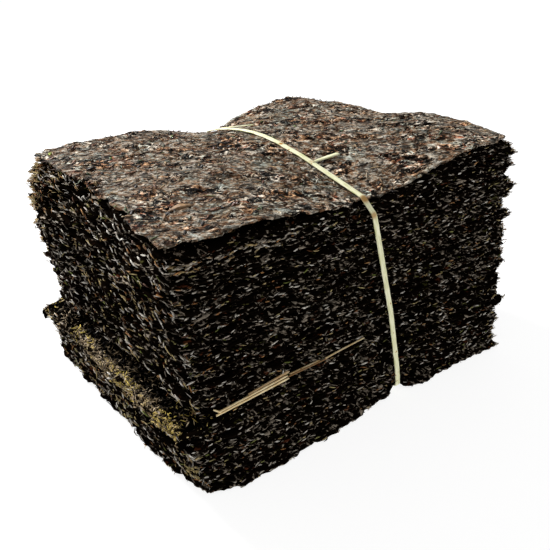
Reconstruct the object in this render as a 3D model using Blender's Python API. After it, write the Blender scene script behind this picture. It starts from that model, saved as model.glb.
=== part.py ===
"""A bundle of raw laver sheets, tied round its middle with one flat straw.

A hundred rough sheets, each folded once, lie on each other in two bunches.
The lower bunch stands out as a ledge on the left, the top sheet curls up along
its front left edge, and the straw pulls the middle of the stack down. A split
straw stem is caught in the joint between the bunches. Metres, +Z up; the
origin is on the ground under the middle of the bundle, X runs along the
folded sheets' long side and the front faces -Y.
"""
import math
import random
from dataclasses import dataclass

import bmesh
import bpy
from mathutils import Matrix, Vector, noise
from mathutils.bvhtree import BVHTree

# Sheets
SHEET_LENGTH = 0.190        # along X
SHEET_DEPTH = 0.135         # along Y, half of an open sheet
SHEET_COUNT = 100
FOLDED_PITCH = 0.00113      # one folded sheet in the tied stack
STACK_HEIGHT = SHEET_COUNT * FOLDED_PITCH
CENTRE_X = 0.0933           # the origin, from the nominal front left corner
CENTRE_Y = 0.0668
CONTACT_GAP = 0.0003        # between touching solids

# Joint between the bunches
JOINT_LEFT = 0.0350
JOINT_RISE = 0.0045         # the joint climbs by this towards the middle
JOINT_RISE_END = 0.092
JOINT_GAP = 0.0004
JOINT_MOUTH = 0.0022        # extra gap along the ledge
LEDGE_SAG = 0.0015
LEDGE_REACH = 0.016         # how far in the mouth and the sag go

# Top
TIE_X = 0.0985              # the straw on the top, from the front left corner
DIP_X = 0.1005
DIP_WIDTH = 0.024           # half width of the dip that the straw pulls
TIE_EDGE_HEIGHT = 0.1045    # the top under the straw, at its front edge
TIE_CROWN = 0.0110          # the top's rise from there to its middle
CROWN_SKEW = 1.3            # puts the crown behind the middle
CROWN_BASE = STACK_HEIGHT + 0.0008
BACK_CORNER_DROP = 0.0075   # the back right corner sags
BACK_CORNER_S = (0.155, 0.190)
BACK_CORNER_T = (0.055, 0.100)
WRINKLE = 0.0011
WRINKLE_SIZE = 0.032

# Top sheet
LEAF_THICKNESS = 0.0010
LEAF_GAP = 0.0006           # between it and the pile where it lies flat
LEAF_LIFT = 0.0042          # gap under the curled front left edge
LEAF_LIFT_DEPTH = 0.013
LEAF_LIFT_S = (0.045, 0.075)
LEAF_LIFT_SIDE = 0.5        # share of it along the left edge
LEAF_OVERHANG = 0.0010
LEAF_SETBACK = 0.0012       # its front edge, behind the pile's

# Underside
VALLEY_DEPTH = 0.0040       # lets the straw pass clear of the ground
VALLEY_FLAT = 0.0055
VALLEY_REACH = 0.012

# Sides of the upper bunch
UPPER_FOOT_IN = 0.0040      # front left edge at the joint, inwards
UPPER_TOP_OUT = 0.0033      # and at the top, outwards
BELLY_FOOT_IN = 0.0026      # back left edge at the joint
BELLY = 0.0062              # its bulge above that
BELLY_SKEW = 1.94
TOP_EDGE_IN = 0.0042        # the left top edge runs in between its corners
SIDE_BULGE = 0.0015

# Sides of the lower bunch
LEDGE_OUT = 0.0052
LOWER_FOOT_IN = 0.0008
RIGHT_FOOT_IN = 0.0038
LOWER_TOP_OUT = 0.0022
FOOT_SPLAY = 0.0030         # the lowest sheets spread to the front
FOOT_SPLAY_LEFT = 0.0050
FOOT_SPLAY_RIGHT = 0.0020
BACK_SPLAY = 0.0055
FOOT_WEAR = 0.0030          # worn front left corner

# What the straw does to the sides
PINCH = 0.0024              # it draws the front and back in
PINCH_WIDTH = 0.014
SHOULDER = 0.0040           # and rounds the top edges under it
SHOULDER_START = 0.90

# Relief of the ragged edges
SLAB = 0.0040               # a few sheets that end together
SLAB_SPREAD = 0.35
RIDGE = 0.0010
SLAB_STEP = 0.0009
TUFT = 0.0016
TUFT_WIDTH = 0.013
TUFT_HEIGHT = 0.0070
FRINGE_WIDTH = 0.006
FRINGE_HEIGHT = 0.004
CORNER_WEAR = 0.0008
LOWER_SEED = 21
UPPER_SEED = 34
LEAF_SEED = 9.3
CELLS_X = 22                # cells of the sheets' plan
CELLS_Y = 16
SHARP_EDGE = math.radians(35.0)

# Straw band and its loose ends
BAND_WIDTH = 0.0033
BAND_THICKNESS = 0.0005
BAND_CLEARANCE = 0.0005
BAND_DRIFT_FRONT = 0.0184   # sideways run down the front
BAND_DRIFT_BACK = 0.010
BAND_RAYS = 1440
BAND_TANGENTS = 90
BAND_SPACING = 0.0008
STUB_START_T = 0.0415
STUB_LENGTH = 0.0160
STUB_WIDTH = 0.0020
STUB_HEADING = math.radians(8.0)
STRAND_START_T = 0.1180
STRAND_LENGTH = 0.0190
STRAND_WIDTH = 0.0012
STRAND_HEADING = math.radians(-72.0)
END_THICKNESS = 0.0004
END_RISE = 0.0012
END_CLEARANCE = 0.0006
END_TAPER = 0.65
END_STEPS = 8

# Split stem in the joint, from its blunt left end
STEM_START = (0.0115, 0.0376)
STEM_BROAD_END = 0.0485
STEM_END = (0.0930, 0.0415)
STEM_HEIGHTS = (0.0022, 0.0038, 0.0014, 0.0008)
STEM_THICKNESS = 0.0016
STEM_SLIT = 0.0004
STEM_SECTIONS = 16
STEM_SAMPLES = 8


@dataclass(frozen=True)
class Swell:
    """A long low hump or hollow of the top that fades towards the back."""
    centre: float
    width: float
    rise: float
    fade: tuple

    def height(self, s, t):
        return self.rise * bell(s, self.centre, self.width) * (1.0 - smooth(t, *self.fade))


SWELLS = (
    Swell(centre=0.165, width=0.024, rise=0.0022, fade=(0.030, 0.070)),
    Swell(centre=0.062, width=0.022, rise=-0.0030, fade=(0.000, 0.050)),
    Swell(centre=0.045, width=0.030, rise=0.0014, fade=(0.060, 0.180)),
    Swell(centre=0.000, width=0.018, rise=0.0015, fade=(0.100, 0.200)),
)


def remove_everything():
    """Empty the scene of the objects that it starts with."""
    for item in list(bpy.data.objects):
        bpy.data.objects.remove(item, do_unlink=True)


def clamp(value, low=0.0, high=1.0):
    return max(low, min(high, value))


def smooth(value, start, end):
    """Rise smoothly from 0 at start to 1 at end."""
    t = clamp((value - start) / (end - start))
    return t * t * (3.0 - 2.0 * t)


def mix(a, b, t):
    return a + (b - a) * t


def bell(value, centre, width):
    return math.exp(-(((value - centre) / width) ** 2))


# Surfaces of the stack. s runs along the front from the nominal front left
# corner, t runs back from it, and the heights are above the ground.

def crown_height(s, t):
    """Top of the bundle: two humps, with the straw's dip between them."""
    along = clamp(t / SHEET_DEPTH)
    tied = TIE_EDGE_HEIGHT + TIE_CROWN * math.sin(math.pi * along ** CROWN_SKEW)
    free = CROWN_BASE + sum(swell.height(s, t) for swell in SWELLS)
    free -= BACK_CORNER_DROP * smooth(s, *BACK_CORNER_S) * smooth(t, *BACK_CORNER_T)
    free += WRINKLE * noise.noise(Vector((s / WRINKLE_SIZE, t / WRINKLE_SIZE, LEAF_SEED)))
    return mix(free, tied, bell(s, DIP_X, DIP_WIDTH))


def curl(s, t):
    """How far the top sheet stands off the sheets under it, from 0 to 1."""
    front = bell(t, 0.0, LEAF_LIFT_DEPTH) * (1.0 - smooth(s, *LEAF_LIFT_S))
    left = bell(s, 0.0, LEAF_LIFT_DEPTH) * (1.0 - smooth(t, 0.0, SHEET_DEPTH))
    return max(front, LEAF_LIFT_SIDE * left)


def upper_top(s, t):
    """Top of the upper bunch, under the top sheet."""
    return crown_height(s, t) - LEAF_THICKNESS - LEAF_GAP - LEAF_LIFT * curl(s, t)


def joint_height(s):
    return JOINT_LEFT + JOINT_RISE * smooth(s, 0.0, JOINT_RISE_END)


def upper_bottom(s, t):
    return joint_height(s) + JOINT_GAP + JOINT_MOUTH * (1.0 - smooth(s, 0.0, LEDGE_REACH))


def lower_top(s, t):
    return joint_height(s) - LEDGE_SAG * (1.0 - smooth(s, 0.0, LEDGE_REACH))


def lower_bottom(s, t):
    """The ground, with a shallow valley for the straw."""
    away = abs(s - band_x(t, 0.0))
    return VALLEY_DEPTH * (1.0 - smooth(away, VALLEY_FLAT, VALLEY_REACH))


def band_x(t, z):
    """Where the straw runs: straight over the top, slanting down the sides."""
    drop = clamp((TIE_EDGE_HEIGHT - z) / TIE_EDGE_HEIGHT)
    drift = mix(BAND_DRIFT_FRONT, BAND_DRIFT_BACK, clamp(t / SHEET_DEPTH))
    return TIE_X + drop * drift


def pinch(s, t, z):
    """How far the straw draws the front or back in, next to it."""
    return PINCH * bell(s, band_x(t, z), PINCH_WIDTH)


# Outline of each bunch. u runs along X, v along Y and h up the bunch, from
# 0 to 1. Each gives the left, right, front and back sides.

def upper_sides(u, v, h):
    front_left = mix(UPPER_FOOT_IN, -UPPER_TOP_OUT, h)
    back_left = BELLY_FOOT_IN - BELLY * math.sin(math.pi * h ** BELLY_SKEW)
    left = mix(front_left, back_left, v) + TOP_EDGE_IN * math.sin(math.pi * v) * h ** 3
    right = SHEET_LENGTH + LEAF_OVERHANG * smooth(h, 0.0, 0.3) * (1.0 - v * h)
    s, z = mix(left, right, u), mix(JOINT_LEFT, STACK_HEIGHT, h)
    shoulder = SHOULDER * smooth(h, SHOULDER_START, 1.0) * bell(s, TIE_X, PINCH_WIDTH)
    bulge = SIDE_BULGE * math.sin(math.pi * h)
    front = -0.5 * bulge + pinch(s, 0.0, z) + shoulder
    back = SHEET_DEPTH + bulge - pinch(s, SHEET_DEPTH, z) - shoulder
    return left, right, front, back


def lower_sides(u, v, h):
    worn = FOOT_WEAR * (1.0 - h) * (1.0 - smooth(v, 0.0, 0.3))
    left = mix(LOWER_FOOT_IN, -LEDGE_OUT, h ** 0.8) + worn
    right = SHEET_LENGTH - RIGHT_FOOT_IN * (1.0 - h)
    s, z = mix(left, right, u), JOINT_LEFT * h
    foot = FOOT_SPLAY + FOOT_SPLAY_LEFT * (1.0 - smooth(u, 0.28, 0.50))
    foot += FOOT_SPLAY_RIGHT * smooth(u, 0.7, 0.85) - FOOT_WEAR * (1.0 - smooth(u, 0.0, 0.08))
    front = -mix(foot, LOWER_TOP_OUT, h) + pinch(s, 0.0, z)
    back = SHEET_DEPTH + mix(BACK_SPLAY, SIDE_BULGE, h) - pinch(s, SHEET_DEPTH, z)
    return left, right, front, back


def to_part(s, t, z):
    return Vector((s - CENTRE_X, t - CENTRE_Y, z))


def unit_block(cells):
    """A unit cube cut into cells along X, Y and Z."""
    bm = bmesh.new()
    bmesh.ops.create_cube(bm, size=1.0, matrix=Matrix.Translation((0.5, 0.5, 0.5)))
    for axis, count in enumerate(cells):
        whole = [e for e in bm.edges
                 if abs(e.verts[0].co[axis] - e.verts[1].co[axis]) > 0.5]
        bmesh.ops.subdivide_edges(bm, edges=whole, cuts=count - 1, use_grid_fill=True)
    return bm


def slab_heights(height, seed):
    """Fractions of the height at which the slabs' edges meet."""
    draw = random.Random(seed)
    count = round(height / SLAB)
    sizes = [1.0 + SLAB_SPREAD * draw.uniform(-1.0, 1.0) for _ in range(count)]
    fractions = [0.0]
    for size in sizes:
        fractions.append(fractions[-1] + size / sum(sizes))
    return fractions


def ring_table(height, seed):
    """Height fraction and ridge offset of every ring of a bunch's side.

    Each slab has its tip at half height and a groove on either side.
    """
    draw = random.Random(seed + 1)
    fractions = slab_heights(height, seed)
    rings = [(0.0, -RIDGE)]
    for low, high in zip(fractions, fractions[1:]):
        step = SLAB_STEP * draw.uniform(-1.0, 1.0)
        rings.append(((low + high) / 2.0, RIDGE + step))
        rings.append((high, -RIDGE + 0.6 * step))
    return rings


def ragged(s, t, z, seed):
    """In and out play of the edges, in tufts wider than they are high."""
    tufts = Vector((s / TUFT_WIDTH, t / TUFT_WIDTH, z / TUFT_HEIGHT + seed))
    fringe = Vector((s / FRINGE_WIDTH, t / FRINGE_WIDTH, z / FRINGE_HEIGHT - seed))
    return TUFT * (1.5 * noise.noise(tufts) + 0.7 * noise.noise(fringe))


def bunch(name, sides, low, high, height, seed):
    """A ragged pile of sheets between two wavy surfaces, as one solid."""
    rings = ring_table(height, seed)
    bm = unit_block((CELLS_X, CELLS_Y, len(rings) - 1))
    for vert in bm.verts:
        u, v, w = vert.co
        h, ridge = rings[round(w * (len(rings) - 1))]
        left, right, front, back = sides(u, v, h)
        s, t = mix(left, right, u), mix(front, back, v)
        z = mix(low(s, t), high(s, t), h)
        out_x = (u == 1.0) - (u == 0.0)
        out_y = (v == 1.0) - (v == 0.0)
        if out_x or out_y:
            out = ridge + ragged(s, t, z, seed)
            if out_x and out_y:
                out = 0.75 * out - CORNER_WEAR
            s, t = s + out * out_x, t + out * out_y
        vert.co = to_part(s, t, z)
    return finish(name, bm)


def leaf_outline(u, v):
    """Plan of the top sheet, a little larger than the pile under it."""
    left, right, front, back = upper_sides(u, v, 1.0)
    s = mix(left - LEAF_OVERHANG, right + LEAF_OVERHANG, u)
    t = mix(front + LEAF_SETBACK, back + LEAF_OVERHANG, v)
    out_x = (u == 1.0) - (u == 0.0)
    out_y = (v == 1.0) - (v == 0.0)
    out = ragged(s, t, STACK_HEIGHT, LEAF_SEED) - (CORNER_WEAR if out_x and out_y else 0.0)
    return s + out * out_x, t + out * out_y


def top_sheet():
    """The top leaf: thin and wavy, with both faces split alike."""
    bm = bmesh.new()
    bmesh.ops.create_grid(
        bm, x_segments=CELLS_X, y_segments=CELLS_Y, size=0.5,
        matrix=Matrix.Translation((0.5, 0.5, 0.0)))
    for vert in bm.verts:
        u, v = round(vert.co.x * CELLS_X) / CELLS_X, round(vert.co.y * CELLS_Y) / CELLS_Y
        s, t = leaf_outline(u, v)
        vert.co = to_part(s, t, crown_height(s, t))
    bmesh.ops.triangulate(bm, faces=bm.faces[:], quad_method='FIXED')
    skin = bm.faces[:]
    under = bmesh.ops.extrude_face_region(bm, geom=skin, use_keep_orig=True)
    for vert in (g for g in under["geom"] if isinstance(g, bmesh.types.BMVert)):
        vert.co.z -= LEAF_THICKNESS
    return finish("top_sheet", bm)


def finish(name, bm):
    """Triangulate a closed form, face it outwards and make it an object."""
    bmesh.ops.triangulate(bm, faces=[f for f in bm.faces if len(f.verts) > 3])
    bmesh.ops.recalc_face_normals(bm, faces=bm.faces[:])
    mesh = bpy.data.meshes.new(name)
    bm.to_mesh(mesh)
    bm.free()
    mesh.shade_smooth()
    mesh.set_sharp_from_angle(angle=SHARP_EDGE)
    item = bpy.data.objects.new(name, mesh)
    bpy.context.scene.collection.objects.link(item)
    return item


def merged_tree(items):
    """One search tree over the solids that a straw lies on."""
    verts, faces = [], []
    for item in items:
        base = len(verts)
        verts.extend(v.co.copy() for v in item.data.vertices)
        faces.extend([base + i for i in p.vertices] for p in item.data.polygons)
    return BVHTree.FromPolygons(verts, faces)


def bundle_section(tree):
    """Points (t, z) of the bundle's surface under the whole width of the straw."""
    centre = Vector((SHEET_DEPTH / 2.0, STACK_HEIGHT / 2.0))
    found = []
    for k in range(BAND_RAYS):
        angle = 2.0 * math.pi * k / BAND_RAYS
        way = Vector((math.cos(angle), math.sin(angle)))
        edge = min(centre.x / max(abs(way.x), 1e-6), centre.y / max(abs(way.y), 1e-6))
        near = centre + way * edge
        start = centre + way * SHEET_LENGTH
        for side in (-0.5, -0.25, 0.0, 0.25, 0.5):
            s = band_x(near.x, near.y) + side * BAND_WIDTH
            origin = to_part(s, start.x, start.y)
            hit = tree.ray_cast(origin, Vector((0.0, -way.x, -way.y)))[0]
            if hit:
                found.append(Vector((hit.y + CENTRE_Y, hit.z)))
    return found


def taut_loop(section, distance):
    """Closed convex path that a tight straw takes, outside the section.

    Lines that touch the section in evenly turned directions are moved out by
    the distance, and each corner of the path is where two of them cross.
    """
    lines = []
    for k in range(BAND_TANGENTS):
        angle = 2.0 * math.pi * k / BAND_TANGENTS
        out = Vector((math.cos(angle), math.sin(angle)))
        lines.append((out, max(p.dot(out) for p in section) + distance))
    path = []
    for (out_a, far_a), (out_b, far_b) in zip(lines, lines[1:] + lines[:1]):
        cross = out_a.x * out_b.y - out_a.y * out_b.x
        corner = Vector(((far_a * out_b.y - far_b * out_a.y) / cross,
                         (far_b * out_a.x - far_a * out_b.x) / cross))
        if not path or (corner - path[-1][0]).length > BAND_SPACING:
            path.append((corner, (out_a + out_b).normalized()))
    if (path[-1][0] - path[0][0]).length < BAND_SPACING:
        path.pop()
    return path


def strip(name, sections, closed):
    """A flat strip through sections of four corners, taken in order."""
    bm = bmesh.new()
    rings = []
    for corners in sections:
        verts = [bm.verts.new(corner) for corner in corners]
        rings.append([bm.edges.new((verts[i], verts[(i + 1) % len(verts)]))
                      for i in range(len(verts))])
    pairs = list(zip(rings, rings[1:]))
    if closed:
        pairs.append((rings[-1], rings[0]))
    for first, second in pairs:
        bmesh.ops.bridge_loops(bm, edges=first + second)
    if not closed:
        for ring in (rings[0], rings[-1]):
            bmesh.ops.contextual_create(bm, geom=ring)
    return finish(name, bm)


def straw_band(tree):
    """The straw's closed loop; returns it and its middle line on the top."""
    path = taut_loop(bundle_section(tree), BAND_CLEARANCE + BAND_THICKNESS / 2.0)
    points = [to_part(band_x(p.x, p.y), p.x, p.y) for p, _ in path]
    sections = []
    for i, (_, out) in enumerate(path):
        along = (points[(i + 1) % len(points)] - points[i - 1]).normalized()
        up = Vector((0.0, out.x, out.y))
        across = along.cross(up).normalized() * BAND_WIDTH / 2.0
        rise = across.cross(along).normalized() * BAND_THICKNESS / 2.0
        sections.append([points[i] - across - rise, points[i] + across - rise,
                         points[i] + across + rise, points[i] - across + rise])
    band = strip("straw_band", sections, closed=True)
    top_line = sorted(((p.y, p.z) for p in points if p.z > STACK_HEIGHT * 0.9))
    return band, top_line


def height_on(line, y):
    """Height of the straw's middle line at a place along the top."""
    for (y0, z0), (y1, z1) in zip(line, line[1:]):
        if y0 <= y <= y1:
            return mix(z0, z1, (y - y0) / (y1 - y0))
    return line[0][1] if y < line[0][0] else line[-1][1]


def loose_end(name, tree, line, start, heading, length, width):
    """A short free end of straw that leaves the band and lies on the top."""
    way = Vector((math.cos(heading), math.sin(heading), 0.0))
    across = Vector((-way.y, way.x, 0.0)) * width / 2.0
    thick = Vector((0.0, 0.0, END_THICKNESS / 2.0))
    sections = []
    for k in range(END_STEPS + 1):
        q = k / END_STEPS
        point = start + way * length * q
        rest = [tree.ray_cast(point + across * side, Vector((0.0, 0.0, -1.0)))[0].z
                for side in (-1.0, 0.0, 1.0)]
        free = max(rest) + END_CLEARANCE + END_THICKNESS / 2.0 + END_RISE * q
        point.z = height_on(line, start.y) if k == 0 else free
        taper = mix(1.0, END_TAPER, q)
        sections.append([point - across * taper - thick, point + across * taper - thick,
                         point + across * taper + thick, point - across * taper + thick])
    return strip(name, sections, closed=False)


def fuse(target, parts):
    """Join parts into the target by one union, and remove them."""
    group = bpy.data.collections.new("loose_ends")
    for part in parts:
        bpy.context.scene.collection.objects.unlink(part)
        group.objects.link(part)
    union = target.modifiers.new("union", 'BOOLEAN')
    union.operation = 'UNION'
    union.operand_type = 'COLLECTION'
    union.collection = group
    union.solver = 'EXACT'
    bpy.context.scene.collection.children.link(group)
    bpy.context.view_layer.update()
    graph = bpy.context.evaluated_depsgraph_get()
    joined = bpy.data.meshes.new_from_object(target.evaluated_get(graph))
    target.modifiers.remove(union)
    target.data = joined
    for part in parts:
        bpy.data.objects.remove(part, do_unlink=True)
    bpy.data.collections.remove(group)


def stem_height(q):
    """Height of the flattened stem along its length, from blunt end to tip."""
    broad = (STEM_BROAD_END - STEM_START[0]) / (STEM_END[0] - STEM_START[0])
    if q <= broad:
        return mix(STEM_HEIGHTS[0], STEM_HEIGHTS[1], smooth(q, 0.0, broad))
    return mix(STEM_HEIGHTS[2], STEM_HEIGHTS[3], smooth(q, broad, 1.0))


def stem_line(q):
    """Place of the stem's middle along the front, as (s, z)."""
    s = mix(STEM_START[0], STEM_END[0], q)
    return s, mix(STEM_START[1], STEM_END[1], smooth(q, -0.3, 1.1))


def front_face(tree, q):
    """How far forward the sheets reach behind a stretch of the stem."""
    reach = 1.0 / STEM_SECTIONS
    found = []
    for k in range(-STEM_SAMPLES, STEM_SAMPLES + 1):
        s, z = stem_line(q + reach * k / STEM_SAMPLES)
        for row in range(-STEM_SAMPLES, STEM_SAMPLES + 1):
            away = STEM_HEIGHTS[1] * 0.6 * row / STEM_SAMPLES
            origin = to_part(s, -SHEET_DEPTH, z + away)
            hit = tree.ray_cast(origin, Vector((0.0, 1.0, 0.0)))[0]
            if hit:
                found.append(hit.y + CENTRE_Y)
    return min(found)


def straw_stem(tree):
    """A split stem along the joint, with a slit down its middle."""
    sections = []
    for k in range(STEM_SECTIONS + 1):
        q = k / STEM_SECTIONS
        s, z = stem_line(q)
        tall = stem_height(q) / 2.0
        face = front_face(tree, q) - CONTACT_GAP
        thick = min(STEM_THICKNESS, stem_height(q))
        slit = min(STEM_SLIT, thick / 3.0)
        shape = ((0.0, -0.7), (0.0, 0.7), (-0.5, 1.0), (-1.0, 0.65),
                 (-1.0 + slit / thick, 0.0), (-1.0, -0.65), (-0.5, -1.0))
        sections.append([to_part(s, face + thick * depth, z + tall * row)
                         for depth, row in shape])
    return strip("straw_stem", sections, closed=False)


def material(name, colour, roughness, metallic=0.0):
    """A plain Principled material."""
    item = bpy.data.materials.new(name)
    item.use_nodes = True
    shader = item.node_tree.nodes["Principled BSDF"]
    shader.inputs["Base Color"].default_value = (*colour, 1.0)
    shader.inputs["Roughness"].default_value = roughness
    shader.inputs["Metallic"].default_value = metallic
    return item


def dress(item, look):
    item.data.materials.clear()
    item.data.materials.append(look)


def build():
    remove_everything()
    dark_laver = material("dark_laver", (0.022, 0.018, 0.013), 0.45)
    edge_laver = material("edge_laver", (0.030, 0.025, 0.016), 0.50)
    top_laver = material("top_laver", (0.100, 0.082, 0.062), 0.42)
    pale_straw = material("pale_straw", (0.70, 0.66, 0.36), 0.55)
    gold_straw = material("gold_straw", (0.52, 0.36, 0.16), 0.60)

    lower = bunch("lower_sheets", lower_sides, lower_bottom, lower_top,
                  JOINT_LEFT + JOINT_RISE, seed=LOWER_SEED)
    upper = bunch("upper_sheets", upper_sides, upper_bottom, upper_top,
                  STACK_HEIGHT - JOINT_LEFT - JOINT_RISE, seed=UPPER_SEED)
    leaf = top_sheet()
    dress(lower, edge_laver)
    dress(upper, dark_laver)
    dress(leaf, top_laver)

    tree = merged_tree([lower, upper, leaf])
    band, top_line = straw_band(tree)
    above = 2.0 * STACK_HEIGHT
    stub_start = to_part(TIE_X, STUB_START_T, above)
    strand_start = to_part(TIE_X, STRAND_START_T, above)
    stub = loose_end("stub", tree, top_line, stub_start, STUB_HEADING,
                     STUB_LENGTH, STUB_WIDTH)
    strand = loose_end("strand", tree, top_line, strand_start, STRAND_HEADING,
                       STRAND_LENGTH, STRAND_WIDTH)
    fuse(band, [stub, strand])
    dress(band, pale_straw)

    stem = straw_stem(merged_tree([lower, upper]))
    dress(stem, gold_straw)


build()
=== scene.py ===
"""Looks of a tied bundle of dried laver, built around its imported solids.

Each bunch of folded sheets is dressed as ragged, frilled leaf edges over a dark core, under a
wrinkled top leaf, and the straws that hold the bundle are ribbed and split along their grain.
"""

import logging
import math
import random
from dataclasses import dataclass, field
from enum import Enum
from typing import Callable, Sequence

import bmesh
import bpy
from mathutils import Matrix, Vector, noise
from mathutils.bvhtree import BVHTree


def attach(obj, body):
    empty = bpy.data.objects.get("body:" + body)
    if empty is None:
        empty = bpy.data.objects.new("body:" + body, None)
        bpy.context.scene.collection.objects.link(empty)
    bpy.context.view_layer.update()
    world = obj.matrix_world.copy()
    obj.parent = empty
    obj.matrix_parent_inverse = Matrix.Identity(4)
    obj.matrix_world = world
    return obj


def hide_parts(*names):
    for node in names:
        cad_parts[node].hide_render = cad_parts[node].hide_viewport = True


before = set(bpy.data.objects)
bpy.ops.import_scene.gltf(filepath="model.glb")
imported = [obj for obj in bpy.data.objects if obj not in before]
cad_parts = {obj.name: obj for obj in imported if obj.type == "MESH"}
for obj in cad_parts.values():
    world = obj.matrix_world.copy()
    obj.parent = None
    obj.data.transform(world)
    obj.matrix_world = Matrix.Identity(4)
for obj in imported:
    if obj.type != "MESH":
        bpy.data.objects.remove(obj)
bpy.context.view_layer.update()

LOG = logging.getLogger("laver")
BODY = "root"
Pair = tuple[float, float]
Triple = tuple[float, float, float]
Quad = tuple[float, float, float, float]
Colour = Triple
Leaf = Triple
Sides = Quad
Surface = Callable[[float, float], float]
Path = Sequence[tuple[Vector, Vector]]
Form = bmesh.types.BMesh
Material = bpy.types.Material
Socket = bpy.types.NodeSocket
Value = Socket | Colour | float


class Side(Enum):
    """A standing side of the bundle, by the way it faces along length and depth."""

    LEFT = (-1, 0)
    RIGHT = (1, 0)
    FRONT = (0, -1)
    BACK = (0, 1)


class Slot(Enum):
    """Names of the record's material slots."""

    UPPER = "dark_laver"
    LOWER = "edge_laver"
    TOP = "top_laver"
    BAND = "pale_straw"
    STEM = "gold_straw"


# ---------------------------------------------------------------- shape of the bundle

def clamp(value: float, low: float = 0.0, high: float = 1.0) -> float:
    """Hold a value between two limits."""
    return min(max(value, low), high)


def smooth(value: float, start: float, end: float) -> float:
    """Rise from 0 to 1 between start and end, with level ends."""
    t = clamp((value - start) / (end - start))
    return t * t * (3.0 - 2.0 * t)


def mix(a: float, b: float, t: float) -> float:
    """Blend from a to b."""
    return a + (b - a) * t


def bell(value: float, centre: float, width: float) -> float:
    """A rounded hill of height 1 round a centre."""
    return math.exp(-((value - centre) / width) ** 2)


def grain(s: float, t: float, size: float, layer: float) -> float:
    """Smooth noise from about -1 to 1 over the bundle's plan, different in every layer."""
    return noise.noise(Vector((s / size, t / size, layer)))


def pull(before: float, after: float, reach: float) -> float:
    """Share of an outward shift along a run: -1 at its start, 1 at its end, 0 between."""
    return math.exp(-after / reach) - math.exp(-before / reach)


@dataclass(frozen=True)
class Swell:
    """A rounded rise or hollow of the top that runs along the depth."""

    centre: float
    width: float
    rise: float
    fade: Pair

    def height(self, s: float, t: float) -> float:
        """Rise at a place of the plan."""
        return self.rise * bell(s, self.centre, self.width) * (1.0 - smooth(t, *self.fade))


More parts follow.
